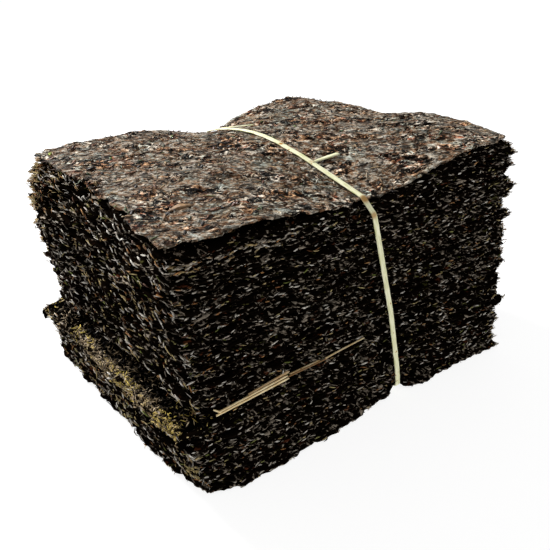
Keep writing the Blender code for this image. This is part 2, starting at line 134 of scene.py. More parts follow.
@dataclass(frozen=True)
class Bundle:
    """Sizes of the tied bundle in metres, s along its length, t along its depth."""

    length: float = 0.190
    depth: float = 0.135
    height: float = 0.113
    centre_x: float = 0.0933
    centre_y: float = 0.0668
    joint_left: float = 0.0350
    joint_rise: float = 0.0045
    joint_rise_end: float = 0.092
    joint_gap: float = 0.0004
    joint_mouth: float = 0.0022
    ledge_sag: float = 0.0015
    ledge_reach: float = 0.016
    tie_x: float = 0.0985
    dip_x: float = 0.1005
    dip_width: float = 0.024
    tie_edge_height: float = 0.1045
    tie_crown: float = 0.0110
    crown_skew: float = 1.3
    crown_base: float = 0.1138
    back_corner_drop: float = 0.0075
    back_corner_s: Pair = (0.155, 0.190)
    back_corner_t: Pair = (0.055, 0.100)
    wrinkle: float = 0.0011
    wrinkle_size: float = 0.032
    leaf_seed: float = 9.3
    leaf_thickness: float = 0.0010
    leaf_gap: float = 0.0006
    leaf_lift: float = 0.0042
    leaf_lift_depth: float = 0.013
    leaf_lift_s: Pair = (0.045, 0.075)
    leaf_lift_side: float = 0.5
    leaf_overhang: float = 0.0010
    leaf_setback: float = 0.0012
    valley_depth: float = 0.0012
    valley_flat: float = 0.0022
    valley_reach: float = 0.0060
    upper_foot_in: float = 0.0040
    upper_top_out: float = 0.0033
    belly_foot_in: float = 0.0026
    belly: float = 0.0062
    belly_skew: float = 1.94
    top_edge_in: float = 0.0042
    side_bulge: float = 0.0015
    ledge_out: float = 0.0052
    lower_foot_in: float = 0.0008
    right_foot_in: float = 0.0038
    lower_top_out: float = 0.0022
    foot_splay: float = 0.0030
    foot_splay_left: float = 0.0050
    foot_splay_right: float = 0.0020
    back_splay: float = 0.0055
    foot_wear: float = 0.0030
    pinch: float = 0.0024
    pinch_width: float = 0.011
    shoulder: float = 0.0040
    shoulder_start: float = 0.90
    tuft: float = 0.0016
    tuft_width: float = 0.013
    tuft_height: float = 0.0070
    fringe_width: float = 0.006
    fringe_height: float = 0.004
    drift_front: float = 0.0184
    drift_back: float = 0.010
    swells: tuple[Swell, ...] = (
        Swell(0.165, 0.024, 0.0022, (0.030, 0.070)), Swell(0.062, 0.022, -0.0030, (0.0, 0.050)),
        Swell(0.045, 0.030, 0.0014, (0.060, 0.180)), Swell(0.0, 0.018, 0.0015, (0.100, 0.200)))

    def place(self, s: float, t: float, z: float) -> Vector:
        """Point of the part at a length, a depth and a height of the bundle."""
        return Vector((s - self.centre_x, t - self.centre_y, z))

    def crown(self, s: float, t: float) -> float:
        """Height of the top leaf: drawn down under the tie, swollen on both sides of it.

        Args:
            s, t: Place in the plan.

        Returns:
            The height.
        """
        along = clamp(t / self.depth)
        tied = self.tie_edge_height + self.tie_crown * math.sin(math.pi * along ** self.crown_skew)
        free = self.crown_base + sum(swell.height(s, t) for swell in self.swells)
        free -= self.back_corner_drop * smooth(s, *self.back_corner_s) * smooth(t, *self.back_corner_t)
        free += self.wrinkle * grain(s, t, self.wrinkle_size, self.leaf_seed)
        return mix(free, tied, bell(s, self.dip_x, self.dip_width))

    def curl(self, s: float, t: float) -> float:
        """How far the top leaf stands off the pile near its front left corner, 0 to 1.

        Args:
            s, t: Place in the plan.

        Returns:
            The share.
        """
        front = bell(t, 0.0, self.leaf_lift_depth) * (1.0 - smooth(s, *self.leaf_lift_s))
        left = bell(s, 0.0, self.leaf_lift_depth) * (1.0 - smooth(t, 0.0, self.depth))
        return max(front, self.leaf_lift_side * left)

    def upper_top(self, s: float, t: float) -> float:
        """Top of the upper bunch, under the top leaf."""
        return (self.crown(s, t) - self.leaf_thickness - self.leaf_gap
                - self.leaf_lift * self.curl(s, t))

    def joint(self, s: float) -> float:
        """Height of the joint between the two bunches."""
        return self.joint_left + self.joint_rise * smooth(s, 0.0, self.joint_rise_end)

    def upper_bottom(self, s: float, t: float) -> float:
        """Underside of the upper bunch."""
        mouth = self.joint_mouth * (1.0 - smooth(s, 0.0, self.ledge_reach))
        return self.joint(s) + self.joint_gap + mouth

    def lower_top(self, s: float, t: float) -> float:
        """Top of the lower bunch, sagging at the ledge on the left."""
        return self.joint(s) - self.ledge_sag * (1.0 - smooth(s, 0.0, self.ledge_reach))

    def lower_bottom(self, s: float, t: float) -> float:
        """Underside of the bundle, hollow where the straw passes."""
        away = abs(s - self.band_x(t, 0.0))
        return self.valley_depth * (1.0 - smooth(away, self.valley_flat, self.valley_reach))

    def band_x(self, t: float, z: float) -> float:
        """Length at which the straw crosses, drifting as it goes down either side."""
        drop = clamp((self.tie_edge_height - z) / self.tie_edge_height)
        return self.tie_x + drop * mix(self.drift_front, self.drift_back, clamp(t / self.depth))

    def nip(self, s: float, t: float, z: float) -> float:
        """How far the straw draws the sides in."""
        return self.pinch * bell(s, self.band_x(t, z), self.pinch_width)

    def upper_sides(self, u: float, v: float, h: float) -> Sides:
        """Left, right, front and back of the upper bunch at shares of length, depth, height.

        Args:
            u, v, h: Shares of the length, depth and height.

        Returns:
            Where the left, right, front and back sides stand.
        """
        front_left = mix(self.upper_foot_in, -self.upper_top_out, h)
        back_left = self.belly_foot_in - self.belly * math.sin(math.pi * h ** self.belly_skew)
        left = mix(front_left, back_left, v) + self.top_edge_in * math.sin(math.pi * v) * h ** 3
        right = self.length + self.leaf_overhang * smooth(h, 0.0, 0.3) * (1.0 - v * h)
        s, z = mix(left, right, u), mix(self.joint_left, self.height, h)
        shoulder = (self.shoulder * smooth(h, self.shoulder_start, 1.0)
                    * bell(s, self.tie_x, self.pinch_width))
        bulge = self.side_bulge * math.sin(math.pi * h)
        front = -0.5 * bulge + self.nip(s, 0.0, z) + shoulder
        back = self.depth + bulge - self.nip(s, self.depth, z) - shoulder
        return left, right, front, back

    def lower_sides(self, u: float, v: float, h: float) -> Sides:
        """Left, right, front and back of the lower bunch at shares of length, depth, height.

        Args:
            u, v, h: Shares of the length, depth and height.

        Returns:
            Where the left, right, front and back sides stand.
        """
        worn = self.foot_wear * (1.0 - h) * (1.0 - smooth(v, 0.0, 0.3))
        left = mix(self.lower_foot_in, -self.ledge_out, h ** 0.8) + worn
        right = self.length - self.right_foot_in * (1.0 - h)
        s, z = mix(left, right, u), self.joint_left * h
        foot = self.foot_splay + self.foot_splay_left * (1.0 - smooth(u, 0.28, 0.50))
        foot += (self.foot_splay_right * smooth(u, 0.7, 0.85)
                 - self.foot_wear * (1.0 - smooth(u, 0.0, 0.08)))
        front = -mix(foot, self.lower_top_out, h) + self.nip(s, 0.0, z)
        back = (self.depth + mix(self.back_splay, self.side_bulge, h) - self.nip(s, self.depth, z))
        return left, right, front, back

    def ragged(self, s: float, t: float, z: float, seed: float) -> float:
        """In and out play of the edges, in tufts wider than they are high.

        Args:
            s, t, z: Length, depth and height of the point.
            seed: A number that sets one piece apart.

        Returns:
            The shift, outwards.
        """
        tufts = Vector((s / self.tuft_width, t / self.tuft_width, z / self.tuft_height + seed))
        fringe = Vector((s / self.fringe_width, t / self.fringe_width, z / self.fringe_height - seed))
        return self.tuft * (1.5 * noise.noise(tufts) + 0.7 * noise.noise(fringe))


@dataclass(frozen=True)
class Bunch:
    """One of the two piles of folded sheets, between a low and a high surface."""

    name: str
    node: str
    sides: Callable[[float, float, float], Sides]
    low: Surface
    high: Surface
    height: float
    seed: int
    slab: float = 0.0040
    slab_spread: float = 0.35
    ridge: float = 0.0010
    slab_step: float = 0.0009

    def slab_heights(self) -> list[float]:
        """Fractions of the height at which the slabs' edges meet.

        Returns:
            The shares of the height, from 0 to 1.
        """
        draw = random.Random(self.seed)
        count = round(self.height / self.slab)
        sizes = [1.0 + self.slab_spread * draw.uniform(-1.0, 1.0) for _ in range(count)]
        fractions = [0.0]
        for size in sizes:
            fractions.append(fractions[-1] + size / sum(sizes))
        return fractions

    def ridges(self) -> list[Pair]:
        """Height fraction and outward offset of each slab's tip and groove.

        Returns:
            Pairs of a share of the height and an offset, from the bottom up.
        """
        draw = random.Random(self.seed + 1)
        fractions = self.slab_heights()
        rings = [(0.0, -self.ridge)]
        for low, high in zip(fractions, fractions[1:]):
            step = self.slab_step * draw.uniform(-1.0, 1.0)
            rings.append(((low + high) / 2.0, self.ridge + step))
            rings.append((high, -self.ridge + 0.6 * step))
        return rings

    def ridge_at(self, h: float) -> float:
        """Outward offset of the slabs at a height fraction.

        Args:
            h: Share of the height.

        Returns:
            The offset.
        """
        rings = self.ridges()
        for (low, a), (high, b) in zip(rings, rings[1:]):
            if h <= high:
                return mix(a, b, (h - low) / (high - low))
        return rings[-1][1]


@dataclass
class Tie:
    """The path of the taut straw, and how it presses the leaves in."""

    form: Bundle
    width: float = 0.0033
    thickness: float = 0.0005
    clearance: float = 0.0005
    tangents: int = 90
    rays: int = 720
    spacing: float = 0.0008
    press_reach: float = 0.0034
    press_gap: float = 0.0003
    lines: list[tuple[Vector, float]] = field(default_factory=list)

    def measure(self, tree: BVHTree) -> None:
        """Find the lines that touch the bundle's section under the straw.

        Args:
            tree: Search tree over the solids that the straw lies on.
        """
        form = self.form
        centre = Vector((form.depth / 2.0, form.height / 2.0))
        found = []
        for k in range(self.rays):
            angle = 2.0 * math.pi * k / self.rays
            way = Vector((math.cos(angle), math.sin(angle)))
            edge = min(centre.x / max(abs(way.x), 1e-6), centre.y / max(abs(way.y), 1e-6))
            near = centre + way * edge
            start = centre + way * form.length
            for side in (-0.5, -0.25, 0.0, 0.25, 0.5):
                s = form.band_x(near.x, near.y) + side * self.width
                origin = form.place(s, start.x, start.y)
                hit = tree.ray_cast(origin, Vector((0.0, -way.x, -way.y)))[0]
                if hit:
                    found.append(Vector((hit.y + form.centre_y, hit.z)))
        for k in range(self.tangents):
            angle = 2.0 * math.pi * k / self.tangents
            out = Vector((math.cos(angle), math.sin(angle)))
            self.lines.append((out, max(p.dot(out) for p in found)))

    def path(self, distance: float) -> Path:
        """Corners of the straw's closed path and their outward directions.

        Args:
            distance: How far outside the touching lines the path runs.

        Returns:
            Pairs of a (t, z) point and its outward direction, once round.
        """
        path: list[tuple[Vector, Vector]] = []
        for (out_a, far_a), (out_b, far_b) in zip(self.lines, self.lines[1:] + self.lines[:1]):
            far_a, far_b = far_a + distance, far_b + distance
            cross = out_a.x * out_b.y - out_a.y * out_b.x
            corner = Vector(((far_a * out_b.y - far_b * out_a.y) / cross,
                             (far_b * out_a.x - far_a * out_b.x) / cross))
            if not path or (corner - path[-1][0]).length > self.spacing:
                path.append((corner, (out_a + out_b).normalized()))
        if (path[-1][0] - path[0][0]).length < self.spacing:
            path.pop()
        return path

    def press(self, s: float, t: float, z: float, spare: float = 0.0) -> Pair:
        """Draw a point of a leaf in under the straw.

        Args:
            s, t, z: Length, depth and height of the point.
            spare: Extra distance to keep inside the straw.

        Returns:
            The depth and height of the point after pressing.
        """
        away = abs(s - self.form.band_x(t, z))
        hold = 1.0 - smooth(away, self.width * 0.62, self.width * 0.62 + self.press_reach)
        if hold <= 0.0:
            return t, z
        point = Vector((t, z))
        out, past = max(((out, point.dot(out) - far) for out, far in self.lines),
                        key=lambda pair: pair[1])
        past += self.press_gap + spare - self.clearance
        if past > 0.0:
            point -= out * past * hold
        return point.x, point.y


@dataclass
class StemBed:
    """Where the split straw lies along the joint at the front."""

    form: Bundle
    start: Pair = (0.0115, 0.0376)
    broad_end: float = 0.0485
    end: Pair = (0.0930, 0.0415)
    heights: Quad = (0.0022, 0.0038, 0.0014, 0.0008)
    thickness: float = 0.0016
    gap: float = 0.0003
    samples: int = 64
    faces: list[float] = field(default_factory=list)

    def line(self, q: float) -> Pair:
        """Length and height of the stem's middle at a share of its length."""
        return (mix(self.start[0], self.end[0], q),
                mix(self.start[1], self.end[1], smooth(q, -0.3, 1.1)))

    def tall(self, q: float) -> float:
        """Height of the stem at a share of its length.

        Args:
            q: Share of the stem's length.

        Returns:
            The height.
        """
        broad = (self.broad_end - self.start[0]) / (self.end[0] - self.start[0])
        if q <= broad:
            return mix(self.heights[0], self.heights[1], smooth(q, 0.0, broad))
        return mix(self.heights[2], self.heights[3], smooth(q, broad, 1.0))

    def measure(self, tree: BVHTree) -> None:
        """Find how far forward the sheets reach behind the stem.

        Args:
            tree: Search tree over the two bunches.
        """
        form = self.form
        rows = [self.heights[1] * 0.6 * row / 4 for row in range(-4, 5)]
        raw = []
        for k in range(self.samples + 1):
            s, z = self.line(k / self.samples)
            hits = [tree.ray_cast(form.place(s, -form.depth, z + away), Vector((0.0, 1.0, 0.0)))[0]
                    for away in rows]
            raw.append(min(hit.y + form.centre_y for hit in hits if hit))
        reach = self.samples // 16
        self.faces = [min(raw[max(k - reach, 0):k + reach + 1]) for k in range(len(raw))]

    def face(self, q: float) -> float:
        """Depth of the sheets behind the stem at a share of its length.

        Args:
            q: Share of the stem's length.

        Returns:
            The depth.
        """
        place = clamp(q) * self.samples
        k = min(int(place), self.samples - 1)
        return mix(self.faces[k], self.faces[k + 1], place - k)

    def press(self, s: float, t: float, z: float) -> float:
        """Depth of a leaf's point once it is pushed back behind the stem.

        Args:
            s, t, z: Length, depth and height of the point.

        Returns:
            The new depth.
        """
        q = (s - self.start[0]) / (self.end[0] - self.start[0])
        if t > 0.02 or not -0.02 < q < 1.02:
            return t
        away = abs(z - self.line(q)[1])
        half = 0.5 * self.tall(clamp(q))
        hold = 1.0 - smooth(away, half + 0.0002, half + 0.0014)
        return t + hold * max(0.0, self.face(q) - t)


# ---------------------------------------------------------------- finishes

class Graph:
    """A small helper that lays out the nodes of one material."""

    MIX_INPUTS = (0, 6, 7)
    MIX_RESULT = 2

    def __init__(self, name: str) -> None:
        """Start a node material with a Principled shader.

        Args:
            name: Name of the material.
        """
        self.material = bpy.data.materials.new(name)
        self.material.use_nodes = True
        self.tree = self.material.node_tree
        self.shader = next(n for n in self.tree.nodes if n.type == "BSDF_PRINCIPLED")

    def feed(self, target: Socket, value: Value) -> None:
        """Set a socket, or join another one to it.

        Args:
            target: The socket.
            value: Its colour, vector or number, or the socket that this comes from.
        """
        if isinstance(value, Socket):
            self.tree.links.new(value, target)
        else:
            target.default_value = (*value, 1.0) if target.type == "RGBA" else value

    def node(self, kind: str, result: str | int, feeds: dict[str | int, Value],
             **settings: str) -> Socket:
        """Add a node and feed its inputs.

        Args:
            kind: Blender's name of the node.
            result: Name or place of the output that is wanted.
            feeds: What goes into each input.
            **settings: Properties of the node.

        Returns:
            The output.
        """
        made = self.tree.nodes.new(kind)
        for key, setting in settings.items():
            setattr(made, key, setting)
        for key, value in feeds.items():
            self.feed(made.inputs[key], value)
        return made.outputs[result]

    def mapped(self, source: Socket, scale: Triple, turn: float = 0.0, kind: str = "POINT") -> Socket:
        """Coordinates, stretched and turned: the place by "POINT", the pattern by "TEXTURE"."""
        feeds = {"Vector": source, "Scale": scale, "Rotation": (0.0, 0.0, turn)}
        return self.node("ShaderNodeMapping", "Vector", feeds, vector_type=kind)

    def here(self) -> Socket:
        """Object coordinates."""
        return self.node("ShaderNodeTexCoord", "Object", {})

    def coords(self, scale: Triple = (1.0, 1.0, 1.0), turn: float = 0.0) -> Socket:
        """Object coordinates, stretched and turned about the vertical."""
        return self.mapped(self.here(), scale, turn)

    def drawn(self, stretch: float, degrees: float) -> Socket:
        """Object coordinates in which a pattern is drawn out along a heading of the plan."""
        return self.mapped(self.here(), (stretch, 1.0, 1.0), math.radians(degrees), "TEXTURE")

    def along(self, axis: str) -> Socket:
        """Position along one axis of the part."""
        return self.node("ShaderNodeSeparateXYZ", axis, {"Vector": self.here()})

    def attribute(self, name: str) -> Socket:
        """A number kept on the piece's own points."""
        return self.node("ShaderNodeAttribute", "Fac", {}, attribute_name=name)

    def clouds(self, size: float, vector: Socket, detail: float = 2.0, rough: float = 0.5,
               warp: float = 0.0) -> Socket:
        """Soft noise whose largest features have the given size in metres."""
        feeds = dict(Vector=vector, Scale=1.0 / size, Detail=detail, Roughness=rough, Distortion=warp)
        return self.node("ShaderNodeTexNoise", "Fac", feeds)

    def ramp(self, factor: Socket, stops: Sequence[tuple[float, Colour]]) -> Socket:
        """Colours along a factor.

        Args:
            factor: Where along the ramp.
            stops: Places and colours.

        Returns:
            The colour.
        """
        result = self.node("ShaderNodeValToRGB", "Color", {"Fac": factor})
        band = result.node.color_ramp
        while len(band.elements) < len(stops):
            band.elements.new(0.5)
        for element, (place, colour) in zip(band.elements, stops):
            element.position = place
            element.color = (*colour, 1.0)
        return result

    def span(self, factor: Socket, low: float, high: float, start: float = 0.0,
             end: float = 1.0) -> Socket:
        """Map a factor from low..high to start..end, held at both ends."""
        feeds = {"Value": factor, "From Min": low, "From Max": high, "To Min": start, "To Max": end}
        return self.node("ShaderNodeMapRange", "Result", feeds, interpolation_type="SMOOTHSTEP")

    def mixed(self, kind: str, factor: Value, first: Value, second: Value) -> Socket:
        """Mix two colours by a factor, which is the share of the second."""
        feeds = dict(zip(self.MIX_INPUTS, (factor, first, second)))
        return self.node("ShaderNodeMix", self.MIX_RESULT, feeds, data_type="RGBA", blend_type=kind)

    def blend(self, factor: Value, first: Value, second: Value) -> Socket:
        """Go from the first colour to the second along a factor."""
        return self.mixed("MIX", factor, first, second)

    def shade(self, colour: Socket, light: Socket) -> Socket:
        """A colour made darker where light is below 1."""
        return self.mixed("MULTIPLY", 1.0, colour, light)

    def number(self, operation: str, *values: Value) -> Socket:
        """Work out a number from others."""
        return self.node("ShaderNodeMath", "Value", dict(enumerate(values)), operation=operation)

    def sum(self, first: Socket, second: Socket, share: float = 1.0) -> Socket:
        """First plus a share of second."""
        return self.number("MULTIPLY_ADD", second, share, first)

    def times(self, first: Socket, second: Socket) -> Socket:
        """First times second."""
        return self.number("MULTIPLY", first, second)

    def veins(self, factor: Socket, wide: float) -> Socket:
        """Thin winding lines, 1 on a line, where a noise crosses its middle value."""
        away = self.number("ABSOLUTE", self.number("SUBTRACT", factor, 0.5))
        return self.span(away, wide, 0.4 * wide)

    def bump(self, height: Socket, depth: float, strength: float = 1.0) -> None:
        """Raise the surface by a height map to a depth in metres."""
        feeds = dict(Height=height, Distance=depth, Strength=strength)
        self.feed(self.shader.inputs["Normal"], self.node("ShaderNodeBump", "Normal", feeds))

    def colour(self, value: Value) -> None:
        """Use a colour for the surface."""
        self.feed(self.shader.inputs["Base Color"], value)

    def roughness(self, value: Value) -> None:
        """Use a number for the surface's roughness."""
        self.feed(self.shader.inputs["Roughness"], value)

    def shine(self, level: float) -> None:
        """Set how strongly the surface mirrors light."""
        self.shader.inputs["Specular IOR Level"].default_value = level


@dataclass(frozen=True)
class EdgeLaver:
    """The cut and frayed leaf edges: near black, with pale streaks that are painted glints, and rusty
    and mossy streaks.
    """

    name: str
    ground: Colour = (0.0038, 0.0024, 0.0015)
    dusk: Colour = (0.016, 0.0105, 0.0065)
    # pale is a painted highlight: the lightest streaks stand in for light caught on the leaf edges.
    pale: Colour = (0.38, 0.32, 0.25)
    rust: Colour = (0.090, 0.028, 0.013)
    moss: Colour = (0.070, 0.066, 0.020)
    flat: float = 3.8
    deep: float = 0.42
    glint_streak: float = 0.0027
    speck: float = 0.0011
    gloss: float = 0.50
    shine: float = 0.0
    # The left face is painted a little darker from the left end outward: painted shade.
    left_end: Pair = (-0.086, -0.092)
    left_painted_shade: float = -0.012
    bright: Pair = (0.80, 0.93)

    def make(self) -> Material:
        """Lay out the material.

        Returns:
            The material.
        """
        g = Graph(self.name)
        streaks = g.clouds(self.glint_streak, g.coords((1.0, self.deep, self.flat)), 2.0, 0.62, 0.4)
        specks = g.clouds(self.speck, g.coords((1.0, 0.7, 1.6)), 2.0, 0.6)
        broad = g.clouds(0.020, g.coords((1.0, 1.0, 1.5)), 2.0, 0.5)
        tone = g.sum(g.sum(streaks, specks, 0.30), broad, 0.20)
        # Painted shade: past the left end the tone of the left face is pulled down a little, for how
        # that face is lit.
        tone = g.sum(tone, g.span(g.along("X"), *self.left_end), self.left_painted_shade)
        # Painted highlight: the top of the tone range, set by bright, ramps up to the pale glint
        # colour.
        low, high = self.bright
        colour = g.ramp(g.span(tone, low, high), [
            (0.0, self.ground), (0.42, self.dusk), (1.0, self.pale)])
        rust = g.clouds(0.0065, g.coords((1.0, 1.0, 3.0)), 3.0, 0.65)
        colour = g.blend(g.span(rust, 0.64, 0.72), colour, self.rust)
        moss = g.clouds(0.0055, g.coords((1.0, 1.0, 2.5), 0.7), 3.0, 0.65)
        colour = g.blend(g.span(moss, 0.64, 0.71), colour, self.moss)
        g.colour(colour)
        g.roughness(g.span(specks, 0.3, 0.7, self.gloss - 0.15, self.gloss + 0.10))
        g.shine(self.shine)
        g.bump(specks, 0.0004, 0.8)
        return g.material


@dataclass(frozen=True)
class TopLaver:
    """The face of the top leaf: smooth grey films and crinkled brown patches with dark crevices. The
    films' grey is partly painted sheen, the crevices and hollows are painted shade, and ridges and
    pale fibres are painted highlights.
    """

    name: str = "top_laver"
    brown: Colour = (0.600, 0.350, 0.195)
    # film and cool are partly painted sheen: their light greys stand in for the satin reflection of
    # the white room as well as the leaf's own grey-brown.
    film: Colour = (0.610, 0.535, 0.450)
    cool: Colour = (0.500, 0.510, 0.450)
    rust: Colour = (0.400, 0.150, 0.080)
    tan: Colour = (0.760, 0.580, 0.370)
    # The near-black below is painted shade laid in the crack lines; the fibre colour is a painted
    # highlight for the pale glint lines.
    crevice_shade: Colour = (0.003, 0.002, 0.001)
    fibre: Colour = (0.820, 0.730, 0.590)
    # The tone ladders are painted light: low relief and hollows are painted shade, high relief painted
    # highlights. The tints warm the painted shade and grey the painted highlights.
    rough_painted_light: tuple[float, ...] = (0.010, 0.180, 0.490, 0.930, 1.80)
    smooth_painted_light: tuple[float, ...] = (0.180, 0.370, 0.490, 0.610, 0.930)
    shaded_cracks: tuple[Quad, ...] = ((0.0070, 0.076, 0.38, 1.7), (0.0038, 0.058, 0.40, 0.4))
    light_tints: tuple[tuple[float, Colour], ...] = (
        (0.0, (1.46, 0.83, 0.48)), (0.5, (1.07, 0.95, 0.79)), (1.0, (0.96, 1.0, 1.00)))
    heading: float = -32.0
    stretch: float = 1.5
    thread: float = 0.0021
    dot: float = 0.0013
    mottle: float = 0.016
    cool_size: float = 0.014
    rust_size: float = 0.0055
    tan_size: float = 0.0036
    fibre_glint_size: float = 0.0060
    crack_patch: float = 0.0042
    shine: float = 0.04

    def make(self) -> Material:
        """Lay out the material.

        Returns:
            The material.
        """
        g = Graph(self.name)
        mottle = g.clouds(self.mottle, g.coords(), 4.0, 0.65, 0.3)
        relief = self.relief(g)
        # Painted light and shade: the tone from relief and mottle is laid over the colour, darker in
        # hollows and bright on ridges, then tinted.
        tone = g.span(g.sum(relief, mottle, 0.35), 1.04, 1.46)
        light = g.blend(g.attribute("calm"), self.ladder(g, tone, self.rough_painted_light),
                        self.ladder(g, tone, self.smooth_painted_light))
        colour = g.shade(self.patches(g, mottle), light)
        colour = g.shade(colour, g.ramp(tone, self.light_tints))
        g.colour(self.lines(g, colour))
        g.roughness(g.span(tone, 0.2, 0.8, 0.75, 0.42))
        g.shine(self.shine)
        g.bump(relief, 0.0018, 1.0)
        return g.material

    def leaning(self, g: Graph) -> Socket:
        """Coordinates drawn out a little to one side of the leaf's grain."""
        return g.drawn(self.stretch, self.heading - 24.0)

    def relief(self, g: Graph) -> Socket:
        """Height of the fine threads and dots, low in the hollows.

        Args:
            g: The material's graph.

        Returns:
            The height.
        """
        threads = g.clouds(self.thread, g.drawn(self.stretch, self.heading), 3.0, 0.6, 0.8)
        crossed = g.clouds(self.thread * 1.4, self.leaning(g), 3.0, 0.6, 1.0)
        dots = g.clouds(self.dot, g.drawn(1.4, self.heading + 30.0), 2.0, 0.6, 0.4)
        relief = g.sum(g.sum(threads, crossed, 0.8), dots, 0.40)
        # The hollows lower this height, for the bump and, through the tone, as painted shade in the
        # creases.
        return g.sum(relief, g.attribute("hollow"), -0.24)

    def patches(self, g: Graph, mottle: Socket) -> Socket:
        """Broad patches of film, brown, cool grey, rust and tan; the film and cool greys are partly
        painted sheen.

        Args:
            g: The material's graph.
            mottle: Noise that parts film from brown.

        Returns:
            The colour.
        """
        calm = g.attribute("calm")
        # Film and cool grey are partly painted sheen, most of all on the calm films.
        colour = g.blend(g.span(mottle, 0.44, 0.58), self.brown, self.film)
        colour = g.blend(calm, colour, self.film)
        cool = g.clouds(self.cool_size, g.coords(turn=1.1), 3.0, 0.6, 0.8)
        colour = g.blend(g.span(cool, 0.51, 0.62), colour, self.cool)
        rust = g.clouds(self.rust_size, self.leaning(g), 4.0, 0.7, 1.0)
        rusty = g.times(g.span(rust, 0.54, 0.62), g.span(calm, 0.0, 1.0, 1.0, 0.3))
        colour = g.blend(rusty, colour, self.rust)
        tan = g.clouds(self.tan_size, g.drawn(self.stretch, self.heading), 3.0, 0.7, 1.0)
        return g.blend(g.span(tan, 0.63, 0.69), colour, self.tan)

    def lines(self, g: Graph, colour: Socket) -> Socket:
        """Pale fibre lines, which are painted glints, and dark crack lines, which are painted shade,
        over a colour, fewer of them on the calm films.

        Args:
            g: The material's graph.
            colour: The colour under them.

        Returns:
            The colour.
        """
        calm = g.attribute("calm")
        # The pale fibre lines are painted glints.
        fibres = g.veins(g.clouds(self.fibre_glint_size, self.leaning(g), 2.0, 0.55, 1.6), 0.030)
        patch = g.span(g.clouds(self.fibre_glint_size, g.coords(turn=2.2), 2.0, 0.6), 0.56, 0.62)
        patch = g.times(patch, g.span(calm, 0.2, 0.9, 1.0, 0.3))
        colour = g.blend(g.times(fibres, patch), colour, self.fibre)
        # The dark crack lines are painted shade in the creases.
        for size, wide, low, turn in self.shaded_cracks:
            grained = g.drawn(self.stretch, self.heading)
            shaded_cracks = g.veins(g.clouds(size, grained, 3.0, 0.6, 1.2), wide)
            clouds = g.clouds(self.crack_patch, g.coords(turn=turn), 1.0, 0.5)
            patch = g.times(g.span(clouds, low, low + 0.07), g.span(calm, 0.2, 0.9, 1.0, 0.75))
            colour = g.blend(g.times(shaded_cracks, patch), colour, self.crevice_shade)
        return colour

    def ladder(self, g: Graph, tone: Socket, values: Sequence[float]) -> Socket:
        """Evenly spaced shades from dark to light along a tone."""
        step = 1.0 / (len(values) - 1)
        return g.ramp(tone, [(step * index, (value,) * 3) for index, value in enumerate(values)])


@dataclass(frozen=True)
class LedgeLaver:
    """The fold of the lower bunch: tan and olive fuzz outside, black where no light comes."""

    name: str = "ledge_laver"
    shadow: Colour = (0.0012, 0.0010, 0.0008)
    umber: Colour = (0.030, 0.020, 0.011)
    tan: Colour = (0.540, 0.390, 0.180)
    straw: Colour = (0.900, 0.700, 0.240)
    grey: Colour = (0.660, 0.550, 0.430)

    def make(self) -> Material:
        """Lay out the material.

        Returns:
            The material.
        """
        g = Graph(self.name)
        fuzz = g.clouds(0.0021, g.coords((1.0, 0.7, 1.0)), 3.0, 0.65, 0.6)
        specks = g.clouds(0.0010, g.coords(), 2.0, 0.6)
        tone = g.sum(fuzz, specks, 0.5)
        colour = g.ramp(g.span(tone, 0.66, 0.88), [
            (0.0, self.shadow), (0.34, self.umber), (0.62, self.tan), (1.0, self.straw)])
        grey = g.ramp(g.span(tone, 0.66, 0.88), [
            (0.0, self.shadow), (0.42, self.umber), (1.0, self.grey)])
        patch = g.clouds(0.0110, g.coords(), 2.0, 0.5)
        greener = g.sum(patch, g.span(g.along("Y"), -0.044, -0.060), 0.15)
        colour = g.blend(g.span(greener, 0.44, 0.56), grey, colour)
        lit = g.span(g.sum(g.attribute("lit"), fuzz, 0.6), 0.55, 0.95)
        g.colour(g.blend(lit, self.shadow, colour))
        g.roughness(g.span(specks, 0.3, 0.7, 0.80, 1.0))
        g.shine(0.0)
        g.bump(tone, 0.0007, 1.0)
        return g.material


@dataclass(frozen=True)
class ToneLaver:
    """Loose fronds, coloured one by one from near black to tan, orange and green."""

    name: str
    stops: tuple[tuple[float, Colour], ...]
    gloss: float = 0.45
    shine: float = 0.06

    def make(self) -> Material:
        """Lay out the material.

        Returns:
            The material.
        """
        g = Graph(self.name)
        g.shine(self.shine)
        streaks = g.clouds(0.0008, g.coords(), 2.0, 0.6)
        colour = g.ramp(g.attribute("tone"), self.stops)
        dark = g.blend(g.span(streaks, 0.35, 0.65), (0.55, 0.55, 0.55), (1.0, 1.0, 1.0))
        g.colour(g.shade(colour, dark))
        g.roughness(g.span(streaks, 0.3, 0.7, self.gloss - 0.1, self.gloss + 0.15))
        g.bump(streaks, 0.0002, 0.6)
        return g.material


@dataclass(frozen=True)
class Straw:
    """Dried straw, ribbed along its grain and spotted with brown."""

    name: str
    pale: Colour
    deep: Colour
    spot: Colour
    rib: float = 0.0004

    def make(self) -> Material:
        """Lay out the material.

        Returns:
            The material.
        """
        g = Graph(self.name)
        source = g.node("ShaderNodeUVMap", "UV", {}, uv_map="grain")
        ribs = g.clouds(self.rib, g.mapped(source, (0.06, 1.0, 1.0)), 2.0, 0.6)
        colour = g.ramp(ribs, [(0.36, self.deep), (0.58, self.pale)])
        spots = g.clouds(0.0030, g.coords(), 3.0, 0.6)
        colour = g.blend(g.span(spots, 0.66, 0.74), colour, self.spot)
        stain = g.attribute("stain")
        colour = g.blend(g.span(stain, 0.0, 1.0), colour, self.spot)
        g.colour(colour)
        g.shine(0.25)
        g.roughness(g.span(ribs, 0.3, 0.7, 0.40, 0.55))
        g.bump(ribs, 0.00015, 0.7)
        return g.material


